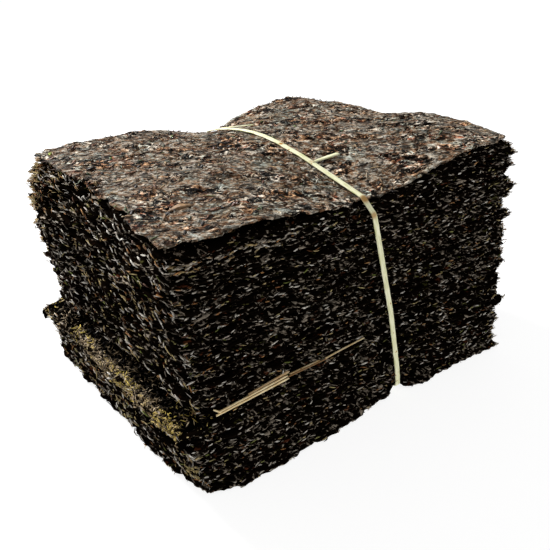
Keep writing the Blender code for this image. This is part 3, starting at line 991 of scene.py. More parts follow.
PALE_STRAW = Straw("band_straw", (0.97, 0.95, 0.68), (0.66, 0.67, 0.33), (0.42, 0.19, 0.02))
GOLD_STRAW = Straw("gold_straw", (1.0, 0.86, 0.55), (0.64, 0.41, 0.14), (0.24, 0.105, 0.030))
# From 0.40 to 0.76 the tones climb to near white: painted glints on the fronds. Below them are the
# near-black fronds, above them their rust, orange, tan and moss.
EDGE_AND_GLINT_TONES = (
    (0.00, (0.004, 0.0025, 0.0015)), (0.24, (0.020, 0.013, 0.008)),
    (0.40, (0.210, 0.168, 0.128)), (0.58, (0.580, 0.520, 0.430)),
    (0.76, (0.970, 0.920, 0.830)), (0.80, (0.160, 0.060, 0.030)),
    (0.84, (0.520, 0.250, 0.095)), (0.88, (0.440, 0.310, 0.150)),
    (0.95, (0.700, 0.560, 0.270)), (0.98, (0.200, 0.230, 0.060)))
FLECK_TONES = (
    (0.00, (0.010, 0.007, 0.005)), (0.30, (0.022, 0.013, 0.009)),
    (0.42, (0.150, 0.060, 0.032)), (0.58, (0.250, 0.130, 0.066)),
    (0.70, (0.440, 0.310, 0.160)), (0.80, (0.500, 0.450, 0.380)),
    (0.88, (0.060, 0.100, 0.040)), (0.95, (0.480, 0.560, 0.080)))
FUZZ_TONES = (
    (0.00, (0.008, 0.006, 0.004)), (0.25, (0.050, 0.034, 0.018)),
    (0.48, (0.420, 0.300, 0.170)), (0.70, (0.900, 0.720, 0.500)),
    (0.82, (0.720, 0.520, 0.120)), (1.00, (0.960, 0.760, 0.180)))


# ---------------------------------------------------------------- making pieces

def mesh_of(name: str, bm: Form) -> bpy.types.Mesh:
    """Turn a form into a mesh and free the form.

    Args:
        name: Name of the mesh.
        bm: The form.

    Returns:
        The mesh.
    """
    mesh = bpy.data.meshes.new(name)
    bm.to_mesh(mesh)
    bm.free()
    return mesh


def stand(name: str, data: bpy.types.ID) -> bpy.types.Object:
    """Put an object with its data in the scene.

    Args:
        name: Name of the object.
        data: Its mesh, camera or light.

    Returns:
        The object.
    """
    item = bpy.data.objects.new(name, data)
    bpy.context.scene.collection.objects.link(item)
    return item


def grid_form(across: int, deep: int, middle: Pair = (0.5, 0.5)) -> Form:
    """A level square with sides of 1 round a middle, cut into cells.

    Args:
        across, deep: Number of cells both ways.
        middle: Centre of the square.

    Returns:
        The form.
    """
    bm = bmesh.new()
    bmesh.ops.create_grid(bm, x_segments=across, y_segments=deep, size=0.5,
                          matrix=Matrix.Translation((*middle, 0.0)))
    return bm


def finish_piece(name: str, bm: Form, material: Material, node: str) -> None:
    """Turn a closed form into a piece that rides on the part's body.

    Args:
        name: Name of the piece.
        bm: The form, which is freed.
        material: Its finish.
        node: Solid that the piece stands for.
    """
    mesh = mesh_of(name, bm)
    mesh.shade_smooth()
    mesh.materials.append(material)
    item = stand(name, mesh)
    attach(item, BODY)
    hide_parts(node)
    LOG.info("%s: %d faces", name, len(mesh.polygons))


def thicken(bm: Form, thickness: float) -> None:
    """Give a level sheet its thickness, downwards, with both faces alike.

    Args:
        bm: The sheet.
        thickness: Its thickness.
    """
    under = bmesh.ops.extrude_face_region(bm, geom=bm.faces[:], use_keep_orig=True)
    for vert in (g for g in under["geom"] if isinstance(g, bmesh.types.BMVert)):
        vert.co.z -= thickness
    bmesh.ops.recalc_face_normals(bm, faces=bm.faces[:])


@dataclass
class Pile:
    """The leaf edges of one bunch over its dark core."""

    form: Bundle
    bunch: Bunch
    tie: Tie
    finish: Material
    slot: Slot
    stem: StemBed
    pitch: float = 0.00120
    thickness: float = 0.00042
    cell: float = 0.00150
    depths: tuple[float, ...] = (0.0011, 0.0034, 0.0095)
    core_in: float = 0.0060
    core_cells: tuple[int, int, int] = (30, 22, 8)
    stray: float = 0.0006
    fray: float = 0.0015
    fray_size: float = 0.0042
    nibble: float = 0.0009
    nibble_size: float = 0.0019
    pull_reach: float = 0.005
    wave: float = 0.0008
    wave_size: Pair = (0.016, 0.006)
    frill: float = 0.00075
    frill_reach: float = 0.0035
    frill_sizes: Pair = (0.0052, 0.0025)
    corner: float = 0.0021
    corner_reach: float = 0.0042
    hold: float = 0.75
    hold_reach: float = 0.0055
    shelf: float = 0.0016
    shelf_size: Pair = (0.024, 0.0085)
    group: int = 24

    def rim(self) -> bpy.types.Mesh:
        """A flat ring of leaf edge round the plan, as a mesh to be warped.

        Returns:
            The ring, from 0 to the bundle's length and depth.
        """
        form = self.form
        across = round(form.length / self.cell)
        deep = round(form.depth / self.cell)
        bm = bmesh.new()
        bmesh.ops.create_circle(bm, cap_ends=True, radius=1.0, segments=2 * (across + deep))
        corners = ((0.0, 0.0), (1.0, 0.0), (1.0, 1.0), (0.0, 1.0))
        counts = (across, deep, across, deep)
        bm.verts.ensure_lookup_table()
        index = 0
        for corner, following, count in zip(corners, corners[1:] + corners[:1], counts):
            for k in range(count):
                bm.verts[index].co = Vector((
                    form.length * mix(corner[0], following[0], k / count),
                    form.depth * mix(corner[1], following[1], k / count), 0.0))
                index += 1
        middle = bm.faces[:]
        last = 0.0
        for depth in self.depths:
            bmesh.ops.inset_individual(bm, faces=middle, thickness=0.0)
            for vert in middle[0].verts:
                u = (vert.co.x - last) / (form.length - 2.0 * last)
                v = (vert.co.y - last) / (form.depth - 2.0 * last)
                vert.co = Vector((mix(depth, form.length - depth, u),
                                  mix(depth, form.depth - depth, v), 0.0))
            last = depth
        bmesh.ops.delete(bm, geom=middle, context="FACES")
        return mesh_of("rim", bm)

    def play(self, s: float, t: float, z: float, h: float, layer: float, corner: float) -> float:
        """How far out of line one leaf's edge lies at a point.

        Args:
            s, t, z: Length, depth and height of the point.
            h: The leaf's share of the bunch's height.
            layer: A number that only this leaf has.
            corner: Distance from the nearest standing corner.

        Returns:
            The shift, outwards.
        """
        bunch = self.bunch
        wide, high = self.shelf_size
        out = bunch.ridge_at(h) + self.form.ragged(s, t, z, bunch.seed)
        out += self.shelf * noise.noise(Vector((s / wide, t / wide, z / high + 3.0 * bunch.seed)))
        free = 1.0 - self.hold * bell(corner, 0.0, self.hold_reach)
        out += free * self.fray * grain(s, t, self.fray_size, layer * 3.1)
        out += free * self.nibble * grain(s, t, self.nibble_size, layer * 5.7 + 40.0)
        return out - self.corner * bell(corner, 0.0, self.corner_reach)

    def flutter(self, s: float, t: float, z: float, h: float, layer: float, near: float) -> float:
        """Height of a point once its leaf waves and its free edge frills.

        Args:
            s, t, z: Length, depth and height of the point on a flat leaf.
            h: The leaf's share of the bunch's height.
            layer: A number that only this leaf has.
            near: Distance from the leaf's edge.

        Returns:
            The height.
        """
        ends = smooth(h, 0.0, 0.06) * (1.0 - smooth(h, 0.94, 1.0))
        wide, high = self.wave_size
        z += self.wave * grain(s, t, wide, z / high + self.bunch.seed) * mix(0.3, 1.0, ends)
        broad, fine = self.frill_sizes
        frill = (grain(s, t, broad, layer * 7.3 + 9.0) + 0.6 * grain(s, t, fine, layer * 2.9 + 70.0))
        return z + self.frill * math.exp(-near / self.frill_reach) * frill

    def warp(self, x: float, y: float, h: float, layer: float, stray: float) -> Vector:
        """Place of a point of one leaf edge.

        Args:
            x, y: Distances along the flat leaf's length and depth.
            h: The leaf's share of the bunch's height.
            layer: A number that only this leaf has.
            stray: How far the whole leaf lies out of line.

        Returns:
            The point in the part's frame.
        """
        form, bunch = self.form, self.bunch
        u, v = clamp(x / form.length), clamp(y / form.depth)
        left, right, front, back = bunch.sides(u, v, h)
        s, t = mix(left, right, u), mix(front, back, v)
        z = mix(bunch.low(s, t), bunch.high(s, t), h)
        corner = min(x, form.length - x) + min(y, form.depth - y)
        out = self.play(s, t, z, h, layer, corner) + stray
        near = min(x, y, form.length - x, form.depth - y)
        z = self.flutter(s, t, z, h, layer, near)
        s += out * pull(x, form.length - x, self.pull_reach)
        t += out * pull(y, form.depth - y, self.pull_reach)
        t, z = self.tie.press(s, t, z, self.thickness)
        t = self.stem.press(s, t, z)
        top = bunch.high(s, t) - self.thickness * (1.0 if h > 0.98 else 0.2)
        return form.place(s, t, clamp(z, self.thickness + 0.00005, top))

    def layers(self) -> list[Leaf]:
        """Height share, own number and stray of every leaf, from the bottom up.

        Returns:
            The leaves.
        """
        draw = random.Random(self.bunch.seed + 5)
        count = round(self.bunch.height / self.pitch)
        return [(clamp((index + 0.5 + 0.25 * draw.uniform(-1.0, 1.0)) / count),
                 index * 1.618 + self.bunch.seed, self.stray * draw.gauss(0.0, 1.0))
                for index in range(count)]

    def leaves(self) -> list[Form]:
        """All leaf edges of the bunch, in groups that stay small enough to handle.

        Returns:
            One form for each group.
        """
        layers = self.layers()
        rim = self.rim()
        flat = [v.co.copy() for v in rim.vertices]
        groups = []
        for first in range(0, len(layers), self.group):
            bm = bmesh.new()
            for h, layer, stray in layers[first:first + self.group]:
                before = len(bm.verts)
                bm.from_mesh(rim)
                bm.verts.ensure_lookup_table()
                for vert, co in zip(bm.verts[before:], flat):
                    vert.co = self.warp(co.x, co.y, h, layer, stray)
            thicken(bm, self.thickness)
            groups.append(bm)
        bpy.data.meshes.remove(rim)
        return groups

    def core(self) -> Form:
        """The dark middle of the bunch, which the leaf edges hide.

        Returns:
            The form.
        """
        form, bunch = self.form, self.bunch
        bm = bmesh.new()
        bmesh.ops.create_cube(bm, size=1.0, matrix=Matrix.Translation((0.5, 0.5, 0.5)))
        for axis, count in enumerate(self.core_cells):
            whole = [e for e in bm.edges if abs(e.verts[0].co[axis] - e.verts[1].co[axis]) > 0.5]
            bmesh.ops.subdivide_edges(bm, edges=whole, cuts=count - 1, use_grid_fill=True)
        for vert in bm.verts:
            u, v, h = vert.co
            left, right, front, back = bunch.sides(u, v, h)
            s = mix(left + self.core_in, right - self.core_in, u)
            t = mix(front + self.core_in, back - self.core_in, v)
            low = bunch.low(s, t) + 0.0002
            z = mix(low, bunch.high(s, t) - 0.0006, h)
            t, z = self.tie.press(s, t, z, 0.0006)
            vert.co = form.place(s, t, max(z, 0.0003))
        bmesh.ops.recalc_face_normals(bm, faces=bm.faces[:])
        return bm

    def build(self) -> None:
        """Make the core and the groups of leaf edges."""
        forms = [("core", self.core())]
        forms += [(f"edges_{index + 1}", bm) for index, bm in enumerate(self.leaves())]
        for part, bm in forms:
            finish_piece(f"{self.bunch.name}_{part}", bm, self.finish, self.bunch.node)


@dataclass
class TopLeaf:
    """The wrinkled top leaf with its ragged outline."""

    form: Bundle
    tie: Tie
    finish: Material
    cell: float = 0.00074
    thickness: float = 0.0007
    heading: float = -32.0
    stretch: float = 1.7
    crease: float = 0.0012
    pucker: float = 0.0007
    ripple: float = 0.0013
    grit: float = 0.00080
    bay: float = 0.0055
    corner: float = 0.0032
    corner_reach: float = 0.0090
    fold_sizes: Pair = (0.0130, 0.0060)
    film_sizes: Pair = (0.0095, 0.0045)
    pucker_size: float = 0.0090
    ripple_size: float = 0.0056
    grit_size: float = 0.0026
    nibbles: tuple[Triple, ...] = ((0.0008, 0.0035, 17.0), (0.0005, 0.0016, 31.0))

    def drawn(self, s: float, t: float, size: float, layer: float) -> float:
        """Noise whose wrinkles are drawn out along the leaf's grain.

        Args:
            s, t: Place in the plan.
            size: Size of the wrinkles.
            layer: Number of the pattern.

        Returns:
            The noise, from about -1 to 1.
        """
        turn = math.radians(self.heading)
        along = (s * math.cos(turn) + t * math.sin(turn)) / self.stretch
        across = t * math.cos(turn) - s * math.sin(turn)
        return grain(along, across, size, layer)

    def hollow(self, s: float, t: float) -> float:
        """How deep in a crease a place lies, 0 to 1.

        Args:
            s, t: Place in the plan.

        Returns:
            The share.
        """
        bend = 0.005 * grain(s, t, 0.018, 3.0)
        fold = 1.0 - abs(self.drawn(s + bend, t - bend, self.fold_sizes[0], 12.0)) * 2.2
        fine = 1.0 - abs(self.drawn(s - bend, t + bend, self.fold_sizes[1], 23.0)) * 2.2
        here = smooth(grain(s, t, 0.016, 51.0), -0.05, 0.20)
        there = smooth(grain(s, t, 0.012, 77.0), -0.05, 0.25)
        return max(smooth(fold, 0.88, 0.98) * here, 0.8 * smooth(fine, 0.86, 0.97) * there)

    def calm(self, s: float, t: float) -> float:
        """How smooth and film-like a place is, 0 to 1.

        Args:
            s, t: Place in the plan.

        Returns:
            The share.
        """
        broad, fine = self.film_sizes
        film = self.drawn(s, t, broad, 41.0) + 0.4 * grain(s, t, fine, 45.0)
        return smooth(film, -0.20, 0.08)

    def relief(self, s: float, t: float) -> float:
        """Height of the leaf's own wrinkles over the crown.

        Args:
            s, t: Place in the plan.

        Returns:
            The height.
        """
        rough = 1.0 - 0.80 * self.calm(s, t)
        high = self.pucker * grain(s, t, self.pucker_size, 5.0)
        high -= self.crease * self.hollow(s, t) * (0.4 + 0.6 * rough)
        high += rough * self.ripple * abs(self.drawn(s, t, self.ripple_size, 15.0))
        return high + rough * self.grit * self.drawn(s, t, self.grit_size, 8.0)

    def outline(self, u: float, v: float) -> Pair:
        """Plan of the leaf, a little larger than the pile under it.

        Args:
            u, v: Shares of the length and depth.

        Returns:
            Place in the plan.
        """
        form = self.form
        left, right, front, back = form.upper_sides(u, v, 1.0)
        s = mix(left - form.leaf_overhang, right + form.leaf_overhang, u)
        t = mix(front + form.leaf_setback, back + form.leaf_overhang, v)
        corner = form.length * min(u, 1.0 - u) + form.depth * min(v, 1.0 - v)
        out = form.ragged(s, t, form.height, form.leaf_seed)
        out -= self.corner * u * bell(corner, 0.0, self.corner_reach)
        out += sum(depth * grain(s, t, size, layer) for depth, size, layer in self.nibbles)
        bay = self.bay * max(0.0, grain(s, t, 0.0110, 61.0) + 0.1) * math.exp(-u / 0.03)
        return s + out * pull(u, 1.0 - u, 0.02) + bay, t + out * pull(v, 1.0 - v, 0.03)

    def surface(self, s: float, t: float) -> float:
        """Height of the leaf's face."""
        return self.tie.press(s, t, self.form.crown(s, t) + self.relief(s, t))[1]

    def build(self) -> None:
        """Make the leaf."""
        form = self.form
        across, deep = round(form.length / self.cell), round(form.depth / self.cell)
        bm = grid_form(across, deep)
        hollow = bm.verts.layers.float.new("hollow")
        calm = bm.verts.layers.float.new("calm")
        for vert in bm.verts:
            s, t = self.outline(clamp(vert.co.x), clamp(vert.co.y))
            vert[hollow] = self.hollow(s, t)
            vert[calm] = self.calm(s, t)
            t, high = self.tie.press(s, t, form.crown(s, t) + self.relief(s, t))
            vert.co = form.place(s, t, high)
        thicken(bm, self.thickness)
        finish_piece("top_leaf", bm, self.finish, "top_sheet")


@dataclass(frozen=True)
class Blade:
    """Sizes of one loose frond and how it lies."""

    origin: Vector
    along: Vector
    face: Vector
    length: float
    width: float
    bend: float
    tone: float
    twist: float = 0.0
    thickness: float = 0.00018


@dataclass
class Blades:
    """Loose fronds joined in one mesh, each a short tapered and bent strip."""

    parts: int = 3
    taper: float = 0.75

    def strip(self) -> bpy.types.Mesh:
        """One straight three-sided frond of unit size.

        Returns:
            The mesh, along x.
        """
        bm = bmesh.new()
        lay_down = Matrix.Rotation(math.pi / 2.0, 4, "Y") @ Matrix.Rotation(math.pi / 6.0, 4, "Z")
        bmesh.ops.create_cone(bm, cap_ends=True, cap_tris=False, segments=3, radius1=0.58,
                              radius2=0.58, depth=1.0, matrix=lay_down)
        whole = [e for e in bm.edges if abs(e.verts[0].co.x - e.verts[1].co.x) > 0.5]
        bmesh.ops.subdivide_edges(bm, edges=whole, cuts=self.parts - 1)
        return mesh_of("strip", bm)

    def lay(self, blades: Sequence[Blade], settle: Callable[[Vector], Vector] | None = None) -> Form:
        """Join fronds into one form.

        Args:
            blades: The fronds.
            settle: Moves each point to where it comes to rest, if given.

        Returns:
            The form, with a "tone" on every point.
        """
        strip = self.strip()
        flat = [v.co.copy() for v in strip.vertices]
        bm = bmesh.new()
        tone = bm.verts.layers.float.new("tone")
        for blade in blades:
            before = len(bm.verts)
            bm.from_mesh(strip)
            bm.verts.ensure_lookup_table()
            across = blade.face.cross(blade.along).normalized()
            face = blade.along.cross(across).normalized()
            for vert, co in zip(bm.verts[before:], flat):
                narrow = 1.0 - self.taper * (2.0 * co.x) ** 2
                angle = blade.twist * co.x
                side = across * math.cos(angle) + face * math.sin(angle)
                rise = blade.bend * (4.0 * co.x * co.x - 0.3)
                point = (blade.origin + blade.along * blade.length * co.x
                         + side * blade.width * narrow * co.y + face * rise)
                if settle:
                    point = settle(point)
                vert.co = point + face * blade.thickness * co.z
                vert[tone] = blade.tone
        bpy.data.meshes.remove(strip)
        bmesh.ops.recalc_face_normals(bm, faces=bm.faces[:])
        return bm


@dataclass(frozen=True)
class Fray:
    """A stretch of leaf edge whose fronds have a colour and a length of their own."""

    side: Side
    run: Pair
    heights: Pair
    count: int
    tones: Pair
    length: Pair = (0.0012, 0.0034)
    splay: Pair = (0.6, 1.3)
    width: Pair = (0.00022, 0.00045)


@dataclass
class SideFronds:
    """Frayed fronds along the leaf edges of one bunch."""

    pile: Pile
    finish: Material
    count: int
    seed: int
    frays: Sequence[Fray] = ()
    length: Pair = (0.0011, 0.0038)
    width: Pair = (0.00032, 0.00070)
    corner_share: float = 0.10
    corner_reach: float = 0.004
    steep_share: float = 0.14
    steep_splay: Pair = (0.5, 1.2)
    steep_long: float = 0.0026
    left_lean: float = -0.30
    # On the left face fronds draw higher tones and glint fronds grow wider: painted light, for how
    # that face is lit.
    glint_bias: Pair = (1.0, 0.78)
    left_glint_wide: float = 1.40
    left_long: float = 1.45
    # Fronds with tones in this range are painted glints, made wider and at least this long.
    glint_tones: Pair = (0.62, 0.79)
    glint_wide: float = 1.25
    glint_long: float = 0.0024
    bends: Pair = (0.15, 0.22)

    def spot(self, draw: random.Random) -> tuple[Side, float]:
        """A random side and the place along it, near a standing corner now and then.

        Args:
            draw: The source of its differences.

        Returns:
            The side and the distance along it.
        """
        form = self.pile.form
        side = draw.choices(list(Side), (form.depth, form.depth, form.length, form.length))[0]
        run = form.depth if side.value[0] else form.length
        place = draw.uniform(0.0, run)
        if draw.random() < self.corner_share:
            place = draw.choice((0.0, run)) + draw.uniform(-1.0, 1.0) * self.corner_reach
        return side, clamp(place, 0.0, run)

    def grow(self, draw: random.Random, side: Side, place: float, leaf: Leaf, sizes: Quad) -> Blade:
        """One frond on the edge of one leaf.

        Args:
            draw: The source of its small differences.
            side: The side of the bunch that it grows from.
            place: How far along that side it stands.
            leaf: The leaf's height share, own number and stray.
            sizes: Length, width, splay angle and tone.

        Returns:
            The frond.
        """
        form = self.pile.form
        length, width, splay, tone = sizes
        x, y = (place, 0.0) if side is Side.FRONT else (place, form.depth)
        if side.value[0]:
            x, y = (0.0 if side is Side.LEFT else form.length), place
        point = self.pile.warp(x, y, *leaf)
        out = Vector((side.value[0], side.value[1], 0.0))
        run = Vector((-side.value[1], side.value[0], 0.0))
        up = Vector((0.0, 0.0, 1.0))
        lean = self.left_lean if side is Side.LEFT else 0.0
        run = (run + up * math.tan(draw.gauss(lean, 0.24))) * draw.choice((-1.0, 1.0))
        along = (run + out * math.tan(splay)).normalized()
        face = (out * draw.uniform(0.4, 1.2) + up * draw.uniform(0.3, 1.2)
                + run * draw.gauss(0.0, 0.2)).normalized()
        point += out * (0.0002 + 0.28 * length * math.sin(splay))
        point.z = max(point.z, 0.0006)
        bend = draw.gauss(0.0, self.bends[side is Side.LEFT])
        return Blade(point, along, face, length, width, bend * length, tone, draw.gauss(0.0, 0.9))

    def frond(self, draw: random.Random, leaves: Sequence[Leaf]) -> Blade:
        """One frond at a random place of the leaf edges.

        Args:
            draw: The source of its differences.
            leaves: The leaves of the bunch.

        Returns:
            The frond.
        """
        side, place = self.spot(draw)
        length = mix(*self.length, draw.random() ** 1.5)
        splay = abs(draw.gauss(0.0, 0.20))
        if draw.random() < self.steep_share:
            splay = draw.uniform(*self.steep_splay)
            length = min(length, self.steep_long)
        # Painted light: tones are drawn higher on the left face, and glint fronds are widened and
        # lengthened.
        tone = draw.random() ** self.glint_bias[side is Side.LEFT]
        width = draw.uniform(*self.width)
        if self.glint_tones[0] < tone < self.glint_tones[1]:
            width *= self.left_glint_wide if side is Side.LEFT else self.glint_wide
            length = max(length, self.glint_long)
        if side is Side.LEFT:
            length *= self.left_long
        return self.grow(draw, side, place, draw.choice(leaves), (length, width, splay, tone))

    def tuft(self, draw: random.Random, fray: Fray, leaves: Sequence[Leaf]) -> list[Blade]:
        """The fronds of one frayed stretch.

        Args:
            draw: The source of its differences.
            fray: The stretch.
            leaves: The leaves of the bunch.

        Returns:
            The fronds.
        """
        low, high = fray.heights
        near = [leaf for leaf in leaves if low <= leaf[0] <= high]
        near = near or [min(leaves, key=lambda leaf: abs(leaf[0] - low))]
        return [self.grow(draw, fray.side, draw.uniform(*fray.run), draw.choice(near),
                          (draw.uniform(*fray.length), draw.uniform(*fray.width),
                           draw.uniform(*fray.splay), draw.uniform(*fray.tones)))
                for _ in range(fray.count)]

    def build(self) -> None:
        """Make the fronds."""
        draw = random.Random(self.seed)
        leaves = self.pile.layers()
        blades = [self.frond(draw, leaves) for _ in range(self.count)]
        for fray in self.frays:
            blades += self.tuft(draw, fray, leaves)
        bunch = self.pile.bunch
        form, tie = self.pile.form, self.pile.tie

        def settle(point: Vector) -> Vector:
            """Keep a point under the straw and above the floor."""
            s, t = point.x + form.centre_x, point.y + form.centre_y
            t, z = tie.press(s, t, point.z, 0.0003)
            return form.place(s, t, max(z, 0.0003))

        bm = Blades().lay(blades, settle)
        finish_piece(f"{bunch.name}_fronds", bm, self.finish, bunch.node)


@dataclass(frozen=True)
class Fleck:
    """A piece of frond that lies flat on the top leaf, with its heading in degrees."""

    s: float
    t: float
    length: float
    width: float
    heading: float
    tone: float


@dataclass
class TopFronds:
    """Flecks of frond that lie on the top leaf, with the larger ones in their places."""

    leaf: TopLeaf
    finish: Material
    count: int = 900
    twigs: int = 110
    seed: int = 71
    marked: tuple[Fleck, ...] = (
        Fleck(0.0215, 0.0310, 0.0125, 0.0042, -14.0, 0.62),
        Fleck(0.0175, 0.0300, 0.0070, 0.0022, 20.0, 0.30),
        Fleck(0.1455, 0.1145, 0.0085, 0.0050, -20.0, 0.50),
        Fleck(0.0084, 0.1300, 0.0032, 0.0022, 40.0, 0.95),
        Fleck(0.0100, 0.1075, 0.0070, 0.0018, 35.0, 0.50),
        Fleck(0.0261, 0.1067, 0.0080, 0.0013, 30.0, 0.45),
        Fleck(0.0248, 0.0780, 0.0060, 0.0022, 0.0, 0.50),
        Fleck(0.0419, 0.0062, 0.0030, 0.0018, 15.0, 0.85),
        Fleck(0.0200, 0.0193, 0.0026, 0.0016, 60.0, 0.85),
        Fleck(0.0316, 0.0209, 0.0065, 0.0024, -25.0, 0.48),
        Fleck(0.0409, 0.0184, 0.0060, 0.0016, 20.0, 0.42),
        Fleck(0.0030, 0.0068, 0.0034, 0.0016, 60.0, 0.72),
        Fleck(0.0159, 0.0728, 0.0045, 0.0022, -30.0, 0.72),
        Fleck(0.0008, 0.1265, 0.0060, 0.0030, 80.0, 0.66))
    length: Pair = (0.0012, 0.0055)
    width: Pair = (0.0005, 0.0016)
    twig_length: Pair = (0.0016, 0.0044)
    twig_width: Pair = (0.0003, 0.0007)
    twig_reach: float = 0.010
    clear: float = 0.00012

    def scattered(self, draw: random.Random) -> Fleck:
        """A fleck at a random place of the leaf.

        Args:
            draw: The source of its differences.

        Returns:
            The fleck.
        """
        form = self.leaf.form
        return Fleck(draw.uniform(-0.001, form.length), draw.uniform(0.002, form.depth),
                     mix(*self.length, draw.random() ** 2.0), draw.uniform(*self.width),
                     math.degrees(draw.uniform(0.0, math.pi)), draw.random() * 0.9)

    def flat(self, draw: random.Random, fleck: Fleck) -> Blade:
        """The frond of one fleck.

        Args:
            draw: The source of its differences.
            fleck: The fleck.

        Returns:
            The frond.
        """
        turn = math.radians(fleck.heading)
        along = Vector((math.cos(turn), math.sin(turn), 0.0))
        return Blade(self.leaf.form.place(fleck.s, fleck.t, 0.0), along, Vector((0.0, 0.0, 1.0)),
                     fleck.length, fleck.width, 0.00025 * draw.gauss(0.0, 1.0), fleck.tone,
                     0.25 * draw.gauss(0.0, 1.0))

    def twig(self, draw: random.Random) -> Blade:
        """A small twig that stands up near the back rim.

        Args:
            draw: The source of its differences.

        Returns:
            The twig.
        """
        form = self.leaf.form
        turn = draw.uniform(0.0, 2.0 * math.pi)
        along = Vector((math.cos(turn), math.sin(turn), draw.uniform(0.4, 1.6))).normalized()
        place = form.place(draw.uniform(0.0, form.length),
                           form.depth - self.twig_reach * draw.random() ** 2.0, 0.0008)
        return Blade(place, along, Vector((0.0, -1.0, 0.3)).normalized(),
                     draw.uniform(*self.twig_length), draw.uniform(*self.twig_width),
                     0.0005 * draw.gauss(0.0, 1.0), 0.65 * draw.random())

    def build(self) -> None:
        """Make the flecks and twigs."""
        form, leaf = self.leaf.form, self.leaf
        draw = random.Random(self.seed)
        flecks = list(self.marked) + [self.scattered(draw) for _ in range(self.count)]
        blades = [self.flat(draw, fleck) for fleck in flecks]
        blades += [self.twig(draw) for _ in range(self.twigs)]

        def settle(point: Vector) -> Vector:
            """Lay a point on the top leaf."""
            s, t = point.x + form.centre_x, point.y + form.centre_y
            lift = self.clear + 0.5 * max(point.z, -0.0002)
            return form.place(s, t, leaf.surface(s, t) + lift)

        bm = Blades(parts=5, taper=0.7).lay(blades, settle)
        finish_piece("top_fronds", bm, self.finish, "top_sheet")


@dataclass
class LedgeLeaf:
    """The rounded, fuzzy fold on top of the lower bunch, where the upper bunch stands back."""

    pile: Pile
    finish: Material
    reach: float = 0.030
    turn: float = 0.0028
    drop: float = 0.0036
    cell: float = 0.0009
    thickness: float = 0.0005
    lit_reach: float = 0.0032
    lit_drop: Pair = (0.0030, 0.0075)
    bump: float = 0.0011
    bump_sizes: Pair = (0.0060, 0.0026)
    end_drop: float = 0.0030
    proud: float = 0.0006
    nibbles: tuple[Pair, ...] = ((0.0012, 0.0046), (0.0006, 0.0018))

    def profile(self, w: float) -> Pair:
        """How far in from the fold's outermost point and how far down a place lies.

        Args:
            w: Distance over the fold, from its lower rim.

        Returns:
            The two distances.
        """
        arc = self.turn * math.pi / 2.0
        if w < self.drop:
            return 0.0005 * (self.drop - w) / self.drop, self.turn + self.drop - w
        if w < self.drop + arc:
            angle = (w - self.drop) / self.turn
            return self.turn * (1.0 - math.cos(angle)), self.turn * (1.0 - math.sin(angle))
        return self.turn + w - self.drop - arc, 0.0

    def place(self, w: float, v: float) -> Triple:
        """Length, depth and height of a point of the fold.

        Args:
            w: Distance over the fold.
            v: Share of the depth.

        Returns:
            The point.
        """
        form = self.pile.form
        inward, down = self.profile(w)
        left, _, front, back = form.lower_sides(clamp(inward / form.length), v, 1.0)
        t = mix(front, back, v)
        (coarse, wide), (slight, narrow) = self.nibbles
        out = form.ragged(left, t, form.joint_left, self.pile.bunch.seed) + self.proud
        out += coarse * grain(left, t, wide, 17.0) + slight * grain(w, t, narrow, 31.0)
        s = left + inward - out * math.exp(-inward / self.pile.pull_reach)
        broad, fine = self.bump_sizes
        rough = grain(w, t, broad, 2.0) + 0.6 * grain(w, t, fine, 6.0)
        swell = self.bump * rough * (1.0 - smooth(inward, 0.008, 0.014))
        ends = smooth(abs(v - 0.5), 0.470, 0.500) * (1.0 - smooth(inward, 0.004, 0.012))
        high = form.lower_top(s, t) + 0.0003 - down + swell - self.end_drop * ends
        return s, t + out * pull(v, 1.0 - v, 0.03), high

    def build(self) -> None:
        """Make the leaf."""
        form = self.pile.form
        across, deep = round(self.reach / self.cell), round(form.depth / self.cell)
        bm = grid_form(across, deep)
        lit = bm.verts.layers.float.new("lit")
        for vert in bm.verts:
            w = clamp(vert.co.x) * self.reach
            s, t, z = self.place(w, clamp(vert.co.y))
            uneven = 1.0 + 0.5 * grain(s, t, 0.012, 5.0)
            inward, down = self.profile(w)
            low = mix(*self.lit_drop, bell(t, 0.060, 0.035)) * uneven
            shown = 1.0 - smooth(inward, 0.70 * self.lit_reach * uneven, self.lit_reach * uneven)
            shown *= 1.0 - smooth(down, 0.8 * low, 1.15 * low)
            vert[lit] = shown * smooth(t, -0.002, 0.004) * (1.0 - smooth(t, 0.082, 0.104))
            vert.co = form.place(s, t, z)
        thicken(bm, self.thickness)
        finish_piece("ledge_leaf", bm, self.finish, "lower_sheets")


